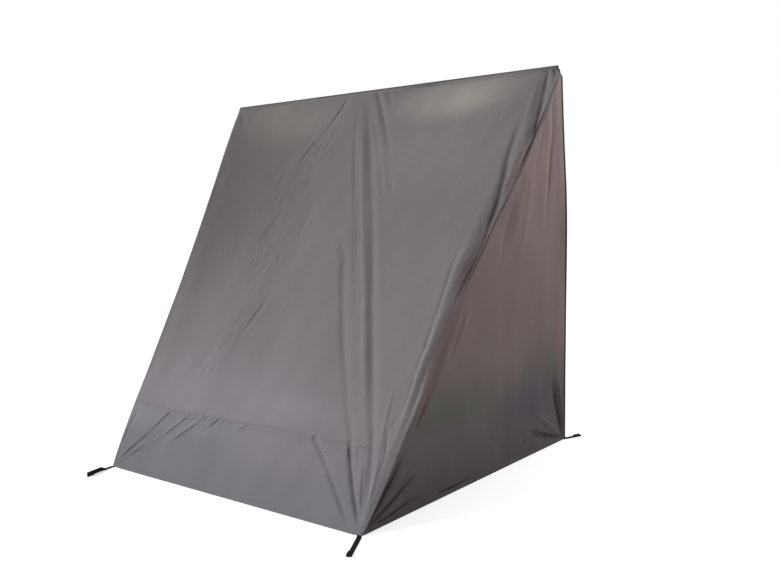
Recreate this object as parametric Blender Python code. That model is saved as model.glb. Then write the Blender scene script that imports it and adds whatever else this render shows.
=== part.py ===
"""Luggage canopy, a cloth lean-to.

A sloping front sheet hangs by its beaded top edge and two triangular side
sheets close its ends. Every seam, hem and binding is a piece of its own,
and four webbing loops at the ground corners hold it down.
Metres, +Z up. +Y points to the rear, +X to the right seen from the front.
The origin is on the ground at the centre of the whole canopy's box.
"""
import math

import bmesh
import bpy
from mathutils import Matrix, Vector

# Overall size
RAIL_WIDTH = 2.070          # between the two upright edges, along the top
RAIL_HEIGHT = 1.800         # top edge of the cloth above the ground
DEPTH = 1.335               # upright edges to front hem, along the ground
FRONT_WIDTH = 1.476         # front hem, corner to corner
BAND_HEIGHT = 0.268         # cross seam above the ground
CORNER_CLIP_ACROSS = 0.024  # the top corners are cut off across the top edge
CORNER_CLIP_DOWN = 0.050    # and down the upright edge

# Cloth and tapes, each about its own mid plane. The cloth is drawn thick
SHEET = 0.0012
TAPE = 0.0008
GAP = 0.0003                # between pieces that are sewn face to face
SEAM_SETBACK = 0.0008       # a sheet's edge from the corner line
HEM_LEG = 0.016
CROSS_TAPE_WIDTH = 0.014
CORNER_SEAM_LEG = 0.008
BINDING_LEG = 0.012
PATCH_LEG = 0.060
TAPE_CLEAR = 0.0009         # between the ends of tapes that lie in one layer

# Keder, a round core in a tape folded over it and over the sheet's top edge
KEDER_CORE_DIAMETER = 0.0070
KEDER_LEG = 0.018
KEDER_STEPS = 16

# Peg loops of doubled webbing, each with a sewn tail inside its corner
WEBBING_WIDTH = 0.020
WEBBING = 0.0012
TAIL_LEG = 0.030
TAIL_SETBACK = 0.0028       # tail's leg from its sheet's corner
FOOT_SHOW = 0.0010          # tail's foot past the front hem
CREASE_SETBACK = 0.0020     # middle of a front loop's fold from the corner
EYE_LENGTH = 0.044
EYE_HEIGHT = 0.0070
EYE_TAPER = 0.016
TWIST_START = 0.15          # of the free length
TWIST_END = 0.60
STATION = 0.006             # between the outline's points along a loop
FOLD_STEPS = 8

# Side, free length, angle out from square to the hem, twist, and highest lift
LOOPS = {
    "front_left": (-1, 0.135, 0.0, 90.0, 110.0),
    "front_right": (1, 0.145, 21.0, 0.0, 110.0),
    "rear_left": (-1, 0.080, 35.0, 0.0, 90.0),
    "rear_right": (1, 0.080, 35.0, 0.0, 90.0),
}

# Colours, linear
FRONT_GREY = (0.185, 0.178, 0.184)
BAND_GREY = (0.196, 0.199, 0.217)
SIDE_GREY = (0.110, 0.095, 0.090)
BINDING_GREY = (0.022, 0.021, 0.021)
TAPE_GREY = (0.150, 0.146, 0.150)
WEBBING_BLACK = (0.004, 0.004, 0.004)
CORE_WHITE = (0.750, 0.750, 0.730)

# Derived sizes
UP = Vector((0, 0, 1))
SLOPE = math.hypot(DEPTH, RAIL_HEIGHT)
PER_HEIGHT = SLOPE / RAIL_HEIGHT        # up the slope for each metre of height
INSET = (RAIL_WIDTH - FRONT_WIDTH) / 2
SIDE_LENGTH = math.hypot(DEPTH, INSET)
SIDE_LEAN = SIDE_LENGTH / RAIL_HEIGHT   # corner line along the side hem per height
DOUBLE = 2 * WEBBING
EDGE_LIFT = DOUBLE + 2 * GAP            # lets the webbing out beneath the sheets
LAYER_1 = SHEET / 2 + GAP               # tapes lie here, off the mid plane
LAYER_2 = LAYER_1 + TAPE + GAP          # webbing lies over the tapes
HEM_OUTSIDE = (LAYER_1 + TAPE) * PER_HEIGHT
CLIP_HEIGHT = RAIL_HEIGHT - CORNER_CLIP_DOWN
CLIP_LEAN = CORNER_CLIP_ACROSS / CORNER_CLIP_DOWN
SEAM_TOP = (INSET + CLIP_LEAN * CLIP_HEIGHT) / (CLIP_LEAN + INSET / RAIL_HEIGHT)  # corner line's end
SIDE_END = SIDE_LENGTH - TAPE - GAP     # side sheet's edge inside its binding
FRONT_CREASE = HEM_OUTSIDE + FOOT_SHOW + GAP + DOUBLE / 2
REAR_CREASE = EYE_HEIGHT + DOUBLE / 2 + LAYER_2 + GAP
TOP_REACH = RAIL_WIDTH / 2 - CORNER_CLIP_ACROSS


class Plane:
    """A sheet's mid plane: a ground corner, along its hem, up it and out of it."""

    def __init__(self, origin, along, up, outward):
        self.origin = origin
        self.along = along.normalized()
        self.up = up.normalized()
        self.outward = outward.normalized()

    def point(self, along, up, outward=0.0):
        return self.origin + self.along * along + self.up * up + self.outward * outward


def front_plane():
    """Origin at the middle of the front hem."""
    return Plane(
        Vector((0, -DEPTH, 0)),
        Vector((1, 0, 0)),
        Vector((0, DEPTH, RAIL_HEIGHT)),
        Vector((0, -RAIL_HEIGHT, DEPTH)),
    )


def side_plane(side):
    """Origin at a front corner, along the side hem to the rear."""
    return Plane(
        Vector((side * FRONT_WIDTH / 2, -DEPTH, 0)),
        Vector((side * INSET, DEPTH, 0)),
        UP,
        Vector((side * DEPTH, -INSET, 0)),
    )


def half_width(height):
    """Half the width of the front sheet at a height above the ground."""
    return FRONT_WIDTH / 2 + INSET * height / RAIL_HEIGHT


def towards(direction, guide):
    """The direction or its opposite, whichever points the guide's way."""
    direction = direction.normalized()
    return direction if direction.dot(guide) > 0 else -direction


class CornerLine:
    """Where a side sheet meets the front, and the tape folded inside it."""

    def __init__(self, side):
        front = front_plane()
        sheet = side_plane(side)
        crest = Vector((side * RAIL_WIDTH / 2, 0, RAIL_HEIGHT))
        self.foot = sheet.origin
        self.run = (crest - self.foot).normalized()
        self.along_front = towards(self.run.cross(front.outward), -sheet.outward)
        self.along_side = towards(self.run.cross(sheet.outward), -front.outward)
        spread = 1 + front.outward.dot(sheet.outward)
        self.fold = (front.outward + sheet.outward) * -(LAYER_1 + TAPE / 2) / spread
        self.front_reach = self.fold.dot(self.along_front) + CORNER_SEAM_LEG
        self.side_reach = self.fold.dot(self.along_side) + CORNER_SEAM_LEG

    def front_edge(self):
        """How far in from the corner line the tape reaches along the front hem."""
        return self.front_reach / abs(self.along_front.x) + TAPE_CLEAR

    def side_edge(self, height):
        """Along the side hem from the corner, past the tape at a height."""
        return SIDE_LEAN * height + self.side_reach / self.run.z + TAPE_CLEAR


def make_material(name, colour, roughness):
    material = bpy.data.materials.new(name)
    material.use_nodes = True
    shader = material.node_tree.nodes["Principled BSDF"]
    shader.inputs["Base Color"].default_value = (*colour, 1.0)
    shader.inputs["Roughness"].default_value = roughness
    shader.inputs["Metallic"].default_value = 0.0
    return material


def finish(bm, name, parent, colour, roughness, smooth=False):
    """Turn a bmesh into a named object whose faces point out."""
    bmesh.ops.recalc_face_normals(bm, faces=bm.faces)
    mesh = bpy.data.meshes.new(name)
    bm.to_mesh(mesh)
    bm.free()
    if smooth:
        mesh.shade_smooth()
        mesh.set_sharp_from_angle(angle=math.radians(40))
    mesh.materials.append(make_material(name, colour, roughness))
    part = bpy.data.objects.new(name, mesh)
    bpy.context.scene.collection.objects.link(part)
    part.parent = parent
    return part


def extrude(bm, faces, along):
    """Grow faces into solids along a vector."""
    grown = bmesh.ops.extrude_face_region(bm, geom=faces)
    moved = [item for item in grown["geom"] if isinstance(item, bmesh.types.BMVert)]
    bmesh.ops.translate(bm, verts=moved, vec=along)


def prism(corners, along):
    """A flat outline of world points, extruded."""
    bm = bmesh.new()
    face = bm.faces.new([bm.verts.new(corner) for corner in corners])
    extrude(bm, [face], along)
    return bm


def plate(plane, outline, level, thickness):
    """A plate parallel to a sheet, from level outward by thickness."""
    corners = [plane.point(along, up, level) for along, up in outline]
    return prism(corners, plane.outward * thickness)


def tape_outline(centre):
    """Outline of a folded tape, from the 2-D points of its centre line."""
    points = [Vector(point) for point in centre]
    near = []
    far = []
    for index, point in enumerate(points):
        before = points[max(index - 1, 0)]
        after = points[min(index + 1, len(points) - 1)]
        leaving = (after - point if index < len(points) - 1 else point - before).normalized()
        arriving = (point - before if index > 0 else leaving).normalized()
        mean = (arriving + leaving).normalized()
        mitre = Vector((-mean.y, mean.x)) * (TAPE / 2 / mean.dot(leaving))
        near.append(point + mitre)
        far.append(point - mitre)
    return near + far[::-1]


def folded_tape(centre, origin, across, up, run):
    """Sweep a folded tape's section along a straight run."""
    corners = [origin + across * point.x + up * point.y for point in tape_outline(centre)]
    return prism(corners, run)


# Sheets
def build_front_sheets(parent):
    """An upper panel and a lower band, butted at the cross seam."""
    plane = front_plane()
    bottom = half_width(EDGE_LIFT) - SEAM_SETBACK
    seam = half_width(BAND_HEIGHT) - SEAM_SETBACK
    top = half_width(SEAM_TOP) - SEAM_SETBACK
    band_bottom = EDGE_LIFT * PER_HEIGHT
    band_top = BAND_HEIGHT * PER_HEIGHT - GAP / 2
    upper_bottom = band_top + GAP
    upper = [
        (-seam, upper_bottom),
        (seam, upper_bottom),
        (top, SEAM_TOP * PER_HEIGHT),
        (TOP_REACH, SLOPE),
        (-TOP_REACH, SLOPE),
        (-top, SEAM_TOP * PER_HEIGHT),
    ]
    band = [(-bottom, band_bottom), (bottom, band_bottom), (seam, band_top), (-seam, band_top)]
    upper_cloth = plate(plane, upper, -SHEET / 2, SHEET)
    finish(upper_cloth, "front_upper_panel", parent, FRONT_GREY, 0.55)
    band_cloth = plate(plane, band, -SHEET / 2, SHEET)
    finish(band_cloth, "front_lower_band", parent, BAND_GREY, 0.55)


def build_side_sheet(parent, name, side):
    """A triangle with its top corner cut off, as the clip cuts the front sheet."""
    outline = [
        (SIDE_LEAN * EDGE_LIFT + SEAM_SETBACK, EDGE_LIFT),
        (SIDE_END, EDGE_LIFT),
        (SIDE_END, CLIP_HEIGHT),
        (SIDE_LEAN * SEAM_TOP + SEAM_SETBACK, SEAM_TOP),
    ]
    cloth = plate(side_plane(side), outline, -SHEET / 2, SHEET)
    finish(cloth, "side_panel_" + name, parent, SIDE_GREY, 0.55)


# Seams, hems and bindings
def build_cross_seam_tape(parent):
    """Tape over the seam of upper panel and band, on the inside."""
    middle = BAND_HEIGHT * PER_HEIGHT
    low = middle - CROSS_TAPE_WIDTH / 2
    high = middle + CROSS_TAPE_WIDTH / 2
    reach = half_width(low / PER_HEIGHT) - CornerLine(1).front_edge()
    outline = [(-reach, low), (reach, low), (reach, high), (-reach, high)]
    tape = plate(front_plane(), outline, -LAYER_1 - TAPE, TAPE)
    finish(tape, "cross_seam_tape", parent, TAPE_GREY, 0.6)


def build_corner_seam(parent, name, side):
    """Tape folded along the inside of a corner, from its foot to the clip."""
    line = CornerLine(side)
    legs = [
        line.fold + line.along_front * CORNER_SEAM_LEG,
        line.fold,
        line.fold + line.along_side * CORNER_SEAM_LEG,
    ]
    across = line.along_front
    up = line.run.cross(across).normalized()
    centre = [(leg.dot(across), leg.dot(up)) for leg in legs]
    dip = max(0.0, -line.along_side.z) * CORNER_SEAM_LEG
    start = (EDGE_LIFT + dip + TAPE) / line.run.z
    stop = (CLIP_HEIGHT - EDGE_LIFT) / line.run.z
    origin = line.foot + line.run * start
    tape = folded_tape(centre, origin, across, up, line.run * (stop - start))
    finish(tape, "corner_seam_" + name, parent, TAPE_GREY, 0.6)


def build_front_hem(parent):
    """Rolled lower edge of the band. It stands on the ground and leans back."""
    lean = DEPTH / RAIL_HEIGHT
    apart = (LAYER_1 + TAPE / 2) * PER_HEIGHT
    crease = TAPE / 2
    centre = [
        (lean * HEM_LEG + apart, HEM_LEG),
        (lean * crease + apart, crease),
        (lean * crease - apart, crease),
        (lean * HEM_LEG - apart, HEM_LEG),
    ]
    reach = FRONT_WIDTH / 2 - TAIL_SETBACK - WEBBING_WIDTH - TAPE_CLEAR
    start = Vector((-reach, -DEPTH, 0))
    across = Vector((0, 1, 0))
    tape = folded_tape(centre, start, across, UP, Vector((2 * reach, 0, 0)))
    finish(tape, "front_hem", parent, BAND_GREY, 0.6)


def build_side_hem(parent, name, side):
    """Rolled lower edge of a side sheet, between the two peg loops."""
    plane = side_plane(side)
    apart = LAYER_1 + TAPE / 2
    crease = TAPE / 2
    centre = [(-apart, HEM_LEG), (-apart, crease), (apart, crease), (apart, HEM_LEG)]
    front_stop = CornerLine(side).side_edge(HEM_LEG)
    rear_stop = SIDE_LENGTH - TAIL_SETBACK - WEBBING_WIDTH - TAPE_CLEAR
    run = plane.along * (rear_stop - front_stop)
    tape = folded_tape(centre, plane.point(front_stop, 0), plane.outward, UP, run)
    finish(tape, "side_hem_" + name, parent, SIDE_GREY, 0.6)


def build_wall_edge_binding(parent, name, side):
    """Dark tape folded over the upright edge at the rear of a side sheet."""
    plane = side_plane(side)
    apart = LAYER_1 + TAPE / 2
    crease = SIDE_LENGTH - TAPE / 2
    end = crease - BINDING_LEG
    centre = [(-apart, end), (-apart, crease), (apart, crease), (apart, end)]
    run = UP * (CLIP_HEIGHT - EDGE_LIFT)
    tape = folded_tape(centre, plane.point(0, EDGE_LIFT), plane.outward, plane.along, run)
    finish(tape, "wall_edge_binding_" + name, parent, BINDING_GREY, 0.7)


def build_corner_patches(parent, name, side):
    """Triangles that stiffen the cloth where the loops pull, on the inside."""
    hem_top = HEM_LEG * PER_HEIGHT + (LAYER_1 + TAPE / 2) * DEPTH / RAIL_HEIGHT
    low = hem_top + TAPE_CLEAR
    edge = half_width(low / PER_HEIGHT) - CornerLine(side).front_edge()
    spread = INSET * PATCH_LEG / SLOPE
    outline = [
        (side * edge, low),
        (side * (edge + spread), low + PATCH_LEG),
        (side * (edge - PATCH_LEG), low),
    ]
    cloth = plate(front_plane(), outline, -LAYER_1 - TAPE, TAPE)
    finish(cloth, "corner_patch_front_" + name, parent, BAND_GREY, 0.6)

    low = HEM_LEG + TAPE_CLEAR
    edge = SIDE_LENGTH - TAPE - BINDING_LEG - TAPE_CLEAR
    outline = [(edge, low), (edge, low + PATCH_LEG), (edge - PATCH_LEG, low)]
    cloth = plate(side_plane(side), outline, -LAYER_1 - TAPE, TAPE)
    finish(cloth, "corner_patch_rear_" + name, parent, SIDE_GREY, 0.6)


# Keder
def build_keder(parent):
    """The round core that the canopy hangs by, and the tape that carries it."""
    plane = front_plane()
    radius = KEDER_CORE_DIAMETER / 2
    middle = SLOPE + radius + 2 * GAP
    turn = Matrix((plane.outward, plane.up, plane.along)).transposed().to_4x4()
    bm = bmesh.new()
    bmesh.ops.create_cone(
        bm,
        cap_ends=True,
        segments=KEDER_STEPS,
        radius1=radius,
        radius2=radius,
        depth=2 * TOP_REACH,
        matrix=Matrix.Translation(plane.point(0, middle)) @ turn,
    )
    finish(bm, "keder_core", parent, CORE_WHITE, 0.4, smooth=True)

    apart = LAYER_1 + TAPE / 2
    ring = (radius + GAP) / math.cos(math.pi / KEDER_STEPS) + TAPE / 2
    neck = math.asin(apart / ring)
    low = SLOPE - KEDER_LEG
    centre = [(apart, low)]
    for step in range(KEDER_STEPS + 1):
        angle = neck + (2 * math.pi - 2 * neck) * step / KEDER_STEPS
        centre.append((ring * math.sin(angle), middle - ring * math.cos(angle)))
    centre.append((-apart, low))
    start = plane.point(-TOP_REACH, 0)
    tape = folded_tape(centre, start, plane.outward, plane.up, plane.along * 2 * TOP_REACH)
    finish(tape, "keder_tape", parent, TAPE_GREY, 0.5, smooth=True)


# Peg loops
def loft(low, high):
    """A solid between two outlines of as many points."""
    bm = bmesh.new()
    below = [bm.verts.new(corner) for corner in low]
    above = [bm.verts.new(corner) for corner in high]
    bm.faces.new(below)
    bm.faces.new(above)
    for index in range(len(below)):
        bm.faces.new((below[index - 1], below[index], above[index], above[index - 1]))
    return bm


def heading(name):
    """Unit vector along the ground from a corner out along its loop."""
    side, _, angle, _, _ = LOOPS[name]
    turn = math.radians(angle)
    ahead = -1 if name.startswith("front") else 1
    return Vector((side * math.sin(turn), ahead * math.cos(turn), 0))


def crease_middle(name):
    """Middle of the fold line a loop turns on, at half its thickness."""
    side = LOOPS[name][0]
    out = heading(name)
    if name.startswith("front"):
        across = side * (FRONT_WIDTH / 2 - CREASE_SETBACK)
        splay = abs(out.x) * WEBBING_WIDTH / 2
        return Vector((across, -DEPTH - FRONT_CREASE - splay, DOUBLE / 2))
    return Vector((side * RAIL_WIDTH / 2, 0, DOUBLE / 2)) + out * REAR_CREASE


def build_tail(parent, name):
    """Sewn end of a loop: a leg up the inside and a foot out under the edge.

    The foot's end slopes back so that the loop clears it at its highest lift.
    """
    side, _, _, _, lift = LOOPS[name]
    out = heading(name)
    if name.startswith("front"):
        plane = front_plane()
        far = side * (FRONT_WIDTH / 2 - TAIL_SETBACK)
        near = far - side * WEBBING_WIDTH
    else:
        plane = side_plane(side)
        far = SIDE_LENGTH - TAIL_SETBACK
        near = far - WEBBING_WIDTH
    inside = -LAYER_2 - DOUBLE
    low = -inside * plane.outward.z / plane.up.z
    end = crease_middle(name) - UP * (DOUBLE / 2) - out * (DOUBLE / 2 + GAP)
    half = Vector((-out.y, out.x, 0)) * (WEBBING_WIDTH / 2)
    inner = [plane.point(near, low, inside), plane.point(far, low, inside)]
    outer = [end + half, end - half]
    if (inner[1] - inner[0]).dot(half) < 0:
        outer.reverse()
    cut = DOUBLE / 2 * max(math.tan(math.radians(lift / 2)) - 1, 0)
    upper = []
    for corner, root in zip(outer, inner[::-1]):
        upper.append(corner.lerp(root, cut / (corner - root).dot(out)))
    foot = loft(inner + outer, [corner + UP * DOUBLE for corner in inner + upper])
    tail = finish(foot, "peg_loop_tail_" + name, parent, WEBBING_BLACK, 0.8)

    outline = [(near, low), (far, low), (far, low + TAIL_LEG), (near, low + TAIL_LEG)]
    leg = plate(plane, outline, inside, DOUBLE)
    guide = finish(leg, "guide_leg_" + name, parent, WEBBING_BLACK, 0.8)
    guide.hide_render = True
    guide.display_type = "WIRE"
    union = tail.modifiers.new("leg", "BOOLEAN")
    union.operation = "UNION"
    union.object = guide


def eye_opening(along, length):
    """Clear height between the two straps at a distance along a loop."""
    rise = min(max((along - length + EYE_LENGTH) / EYE_TAPER, 0.0), 1.0)
    return EYE_HEIGHT * rise * rise * (3 - 2 * rise)


def half_turn(middle, height, radius, start):
    """Points of a half circle in a loop's side view."""
    points = []
    for step in range(FOLD_STEPS + 1):
        angle = start + math.pi * step / FOLD_STEPS
        points.append((middle + radius * math.cos(angle), height + radius * math.sin(angle)))
    return points


def loop_outlines(length):
    """Side view of a doubled strap: its outer edge and the eye inside it."""
    top = EYE_HEIGHT + DOUBLE
    end = length - top / 2
    count = round(end / STATION)
    stations = [end * step / count for step in range(1, count)]
    outer = half_turn(0, DOUBLE / 2, DOUBLE / 2, math.pi / 2)
    outer += [(along, 0.0) for along in stations]
    outer += half_turn(end, top / 2, top / 2, -math.pi / 2)
    outer += [(along, DOUBLE + eye_opening(along, length)) for along in stations[::-1]]

    start = length - EYE_LENGTH + EYE_TAPER / 4
    count = round((end - start) / STATION)
    stations = [start + (end - start) * step / count for step in range(count)]
    eye = [(along, WEBBING) for along in stations]
    eye += half_turn(end, top / 2, top / 2 - WEBBING, -math.pi / 2)
    eye += [(along, WEBBING + eye_opening(along, length)) for along in stations[:0:-1]]
    return outer, eye


def ring_edges(bm, points):
    verts = [bm.verts.new((along, 0, up)) for along, up in points]
    return [bm.edges.new((verts[i - 1], verts[i])) for i in range(len(verts))]


def build_loop(parent, name):
    """A doubled strap with an eye for the peg, twisted by a named angle.

    Its origin is the middle of its fold line and it runs along its own +X.
    """
    side, length, _, twist, _ = LOOPS[name]
    outer, eye = loop_outlines(length)
    bm = bmesh.new()
    edges = ring_edges(bm, outer) + ring_edges(bm, eye)
    bmesh.ops.triangle_fill(bm, use_beauty=True, use_dissolve=False, edges=edges)
    extrude(bm, bm.faces[:], Vector((0, WEBBING_WIDTH, 0)))
    for vert in bm.verts:
        share = (vert.co.x / length - TWIST_START) / (TWIST_END - TWIST_START)
        share = min(max(share, 0.0), 1.0)
        turn = math.radians(twist) * share * share * (3 - 2 * share)
        up = vert.co.z
        across = vert.co.y - WEBBING_WIDTH / 2
        rise = (side * across + WEBBING_WIDTH / 2) * math.sin(turn)
        vert.co.y = across * math.cos(turn) - side * up * math.sin(turn)
        vert.co.z = up * math.cos(turn) + rise - DOUBLE / 2
    loop = finish(bm, "peg_loop_" + name, parent, WEBBING_BLACK, 0.8, smooth=True)
    out = heading(name)
    loop.location = crease_middle(name)
    loop.rotation_euler = (0, 0, math.atan2(out.y, out.x))


def centre_on_ground(canopy):
    """Move the whole canopy so that its box is centred on the origin."""
    bpy.context.view_layer.update()
    reach = []
    for part in bpy.context.scene.objects:
        if part.type == "MESH" and not part.hide_render:
            reach += [(part.matrix_world @ vert.co).y for vert in part.data.vertices]
    canopy.location.y = -(min(reach) + max(reach)) / 2
    bpy.context.view_layer.update()


def main():
    for old in list(bpy.data.objects):
        bpy.data.objects.remove(old, do_unlink=True)
    canopy = bpy.data.objects.new("canopy", None)
    bpy.context.scene.collection.objects.link(canopy)
    build_front_sheets(canopy)
    build_cross_seam_tape(canopy)
    build_front_hem(canopy)
    build_keder(canopy)
    for name, side in (("left", -1), ("right", 1)):
        build_side_sheet(canopy, name, side)
        build_corner_seam(canopy, name, side)
        build_wall_edge_binding(canopy, name, side)
        build_side_hem(canopy, name, side)
        build_corner_patches(canopy, name, side)
    for name in LOOPS:
        build_tail(canopy, name)
        build_loop(canopy, name)
    centre_on_ground(canopy)


main()
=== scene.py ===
"""Looks of a luggage canopy, a cloth lean-to.

A sloping sheet hangs by its beaded top edge, two triangular sides close its
ends, and four webbing loops hold the ground corners.
Metres, +Z up, +Y to the rear, +X to the right seen from the front.
"""

import math

import bpy
import numpy as np
from mathutils import Matrix, Vector


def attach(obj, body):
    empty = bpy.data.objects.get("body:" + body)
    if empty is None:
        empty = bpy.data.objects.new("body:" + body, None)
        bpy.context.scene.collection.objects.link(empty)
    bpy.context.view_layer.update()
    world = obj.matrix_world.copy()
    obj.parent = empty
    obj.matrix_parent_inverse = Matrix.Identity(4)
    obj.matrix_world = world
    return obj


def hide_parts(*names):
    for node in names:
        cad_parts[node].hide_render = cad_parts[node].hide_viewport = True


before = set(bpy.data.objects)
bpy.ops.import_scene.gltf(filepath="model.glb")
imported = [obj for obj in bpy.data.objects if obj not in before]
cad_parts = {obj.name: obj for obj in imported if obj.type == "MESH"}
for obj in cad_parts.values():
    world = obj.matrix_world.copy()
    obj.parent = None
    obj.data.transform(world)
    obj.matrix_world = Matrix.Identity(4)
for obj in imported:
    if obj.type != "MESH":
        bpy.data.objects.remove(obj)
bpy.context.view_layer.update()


# Front sheet, upper panel
# The large sheet of thin coated polyester between the bead and the cross seam.
# It is cut as a trapezoid, hangs slack between its four corners and turns
# round both corner lines by a narrow lap that is stitched to the side panels.
MM = 0.001
REAR = 0.7011  # the plane of the two upright edges
TOP_HALF = 1.035  # half the beaded top edge
TOP_HEIGHT = 1.800
DEPTH = 1.335  # from the upright edges to the front hem
FRONT_HALF = 0.738
SEAM_UP = 0.3337  # the cross seam, up the slope
CLIP_HEIGHT = 1.750  # top of the upright edges
CLOTH = 0.0007
LAP = 0.009
SLOPE = math.hypot(DEPTH, TOP_HEIGHT)
INSET = TOP_HALF - FRONT_HALF
SIDE_LENGTH = math.hypot(DEPTH, INSET)
UP = np.array((0.0, 0.0, 1.0))
ACROSS = np.array((1.0, 0.0, 0.0))
UP_SLOPE = np.array((0.0, DEPTH, TOP_HEIGHT)) / SLOPE
FRONT_OUT = np.array((0.0, -TOP_HEIGHT, DEPTH)) / SLOPE
FRONT_FOOT = np.array((0.0, REAR - DEPTH, 0.0))


def smooth(x):
    """0 below 0, 1 above 1, and a soft step between."""
    x = np.clip(x, 0.0, 1.0)
    return x * x * (3 - 2 * x)


def bump(x, middle, reach):
    """1 in the middle, and a soft fall to 0 beyond its reach."""
    return np.exp(-(((x - middle) / reach) ** 2))


def waves(x, y, seed, length, count=9):
    """Even, aimless waves over a plane, about 1 high."""
    draw = np.random.default_rng(seed)
    total = np.zeros(np.broadcast(x, y).shape)
    for _ in range(count):
        turn = draw.uniform(0, math.pi)
        pitch = length * draw.uniform(0.6, 1.6)
        start = draw.uniform(0, 2 * math.pi)
        total += np.sin((x * math.cos(turn) + y * math.sin(turn)) * 2 * math.pi / pitch + start)
    return total / math.sqrt(count)


def rounded(path, times=2):
    """The path with its corners cut, so that it curves."""
    path = np.array(path, float)
    for _ in range(times):
        cut = [path[0]]
        for a, b in zip(path[:-1], path[1:]):
            cut += [a * 0.75 + b * 0.25, a * 0.25 + b * 0.75]
        path = np.array(cut + [path[-1]])
    return path


def fold(x, y, path, depth, left, right, grow=1.0, fade=(0.25, 0.35), uneven=0.3):
    """Height that one fold adds along a path on the sheet.

    It is a valley where depth is negative. left and right are its widths on
    either side, for a path that runs down, and they grow from start to end.
    """
    height = np.zeros(x.shape)
    path = rounded(path)
    reach = 2.6 * max(left, right) * max(grow, 1.0)
    low, high = path.min(0) - reach, path.max(0) + reach
    near = (x > low[0]) & (x < high[0]) & (y > low[1]) & (y < high[1])
    if not near.any():
        return height
    px, py = x[near], y[near]
    best = np.full(px.shape, 1e9)
    side = np.ones(px.shape)
    share = np.zeros(px.shape)
    lengths = np.linalg.norm(np.diff(path, axis=0), axis=1)
    run = 0.0
    for start, step, length in zip(path[:-1], np.diff(path, axis=0), lengths):
        dx, dy = px - start[0], py - start[1]
        along = np.clip((dx * step[0] + dy * step[1]) / length**2, 0, 1)
        off = np.hypot(dx - along * step[0], dy - along * step[1])
        closer = off < best
        best = np.where(closer, off, best)
        side = np.where(closer, np.sign(step[1] * dx - step[0] * dy), side)
        share = np.where(closer, (run + along * length) / lengths.sum(), share)
        run += length
    seed = float(path[0, 0] * 37 + path[-1, 1] * 61)
    wobble = np.sin(share * 9.0 + seed) * 0.6 + np.sin(share * 23.0 + seed * 2) * 0.4
    wide = np.where(side > 0, left, right) * (1 + (grow - 1) * share) * (1 + 0.15 * wobble)
    swell = smooth(share / fade[0] + 0.02) * smooth((1 - share) / fade[1] + 0.02)
    height[near] = depth * swell * (1 + uneven * wobble) * np.exp(-((best / wide) ** 2))
    return height


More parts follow.
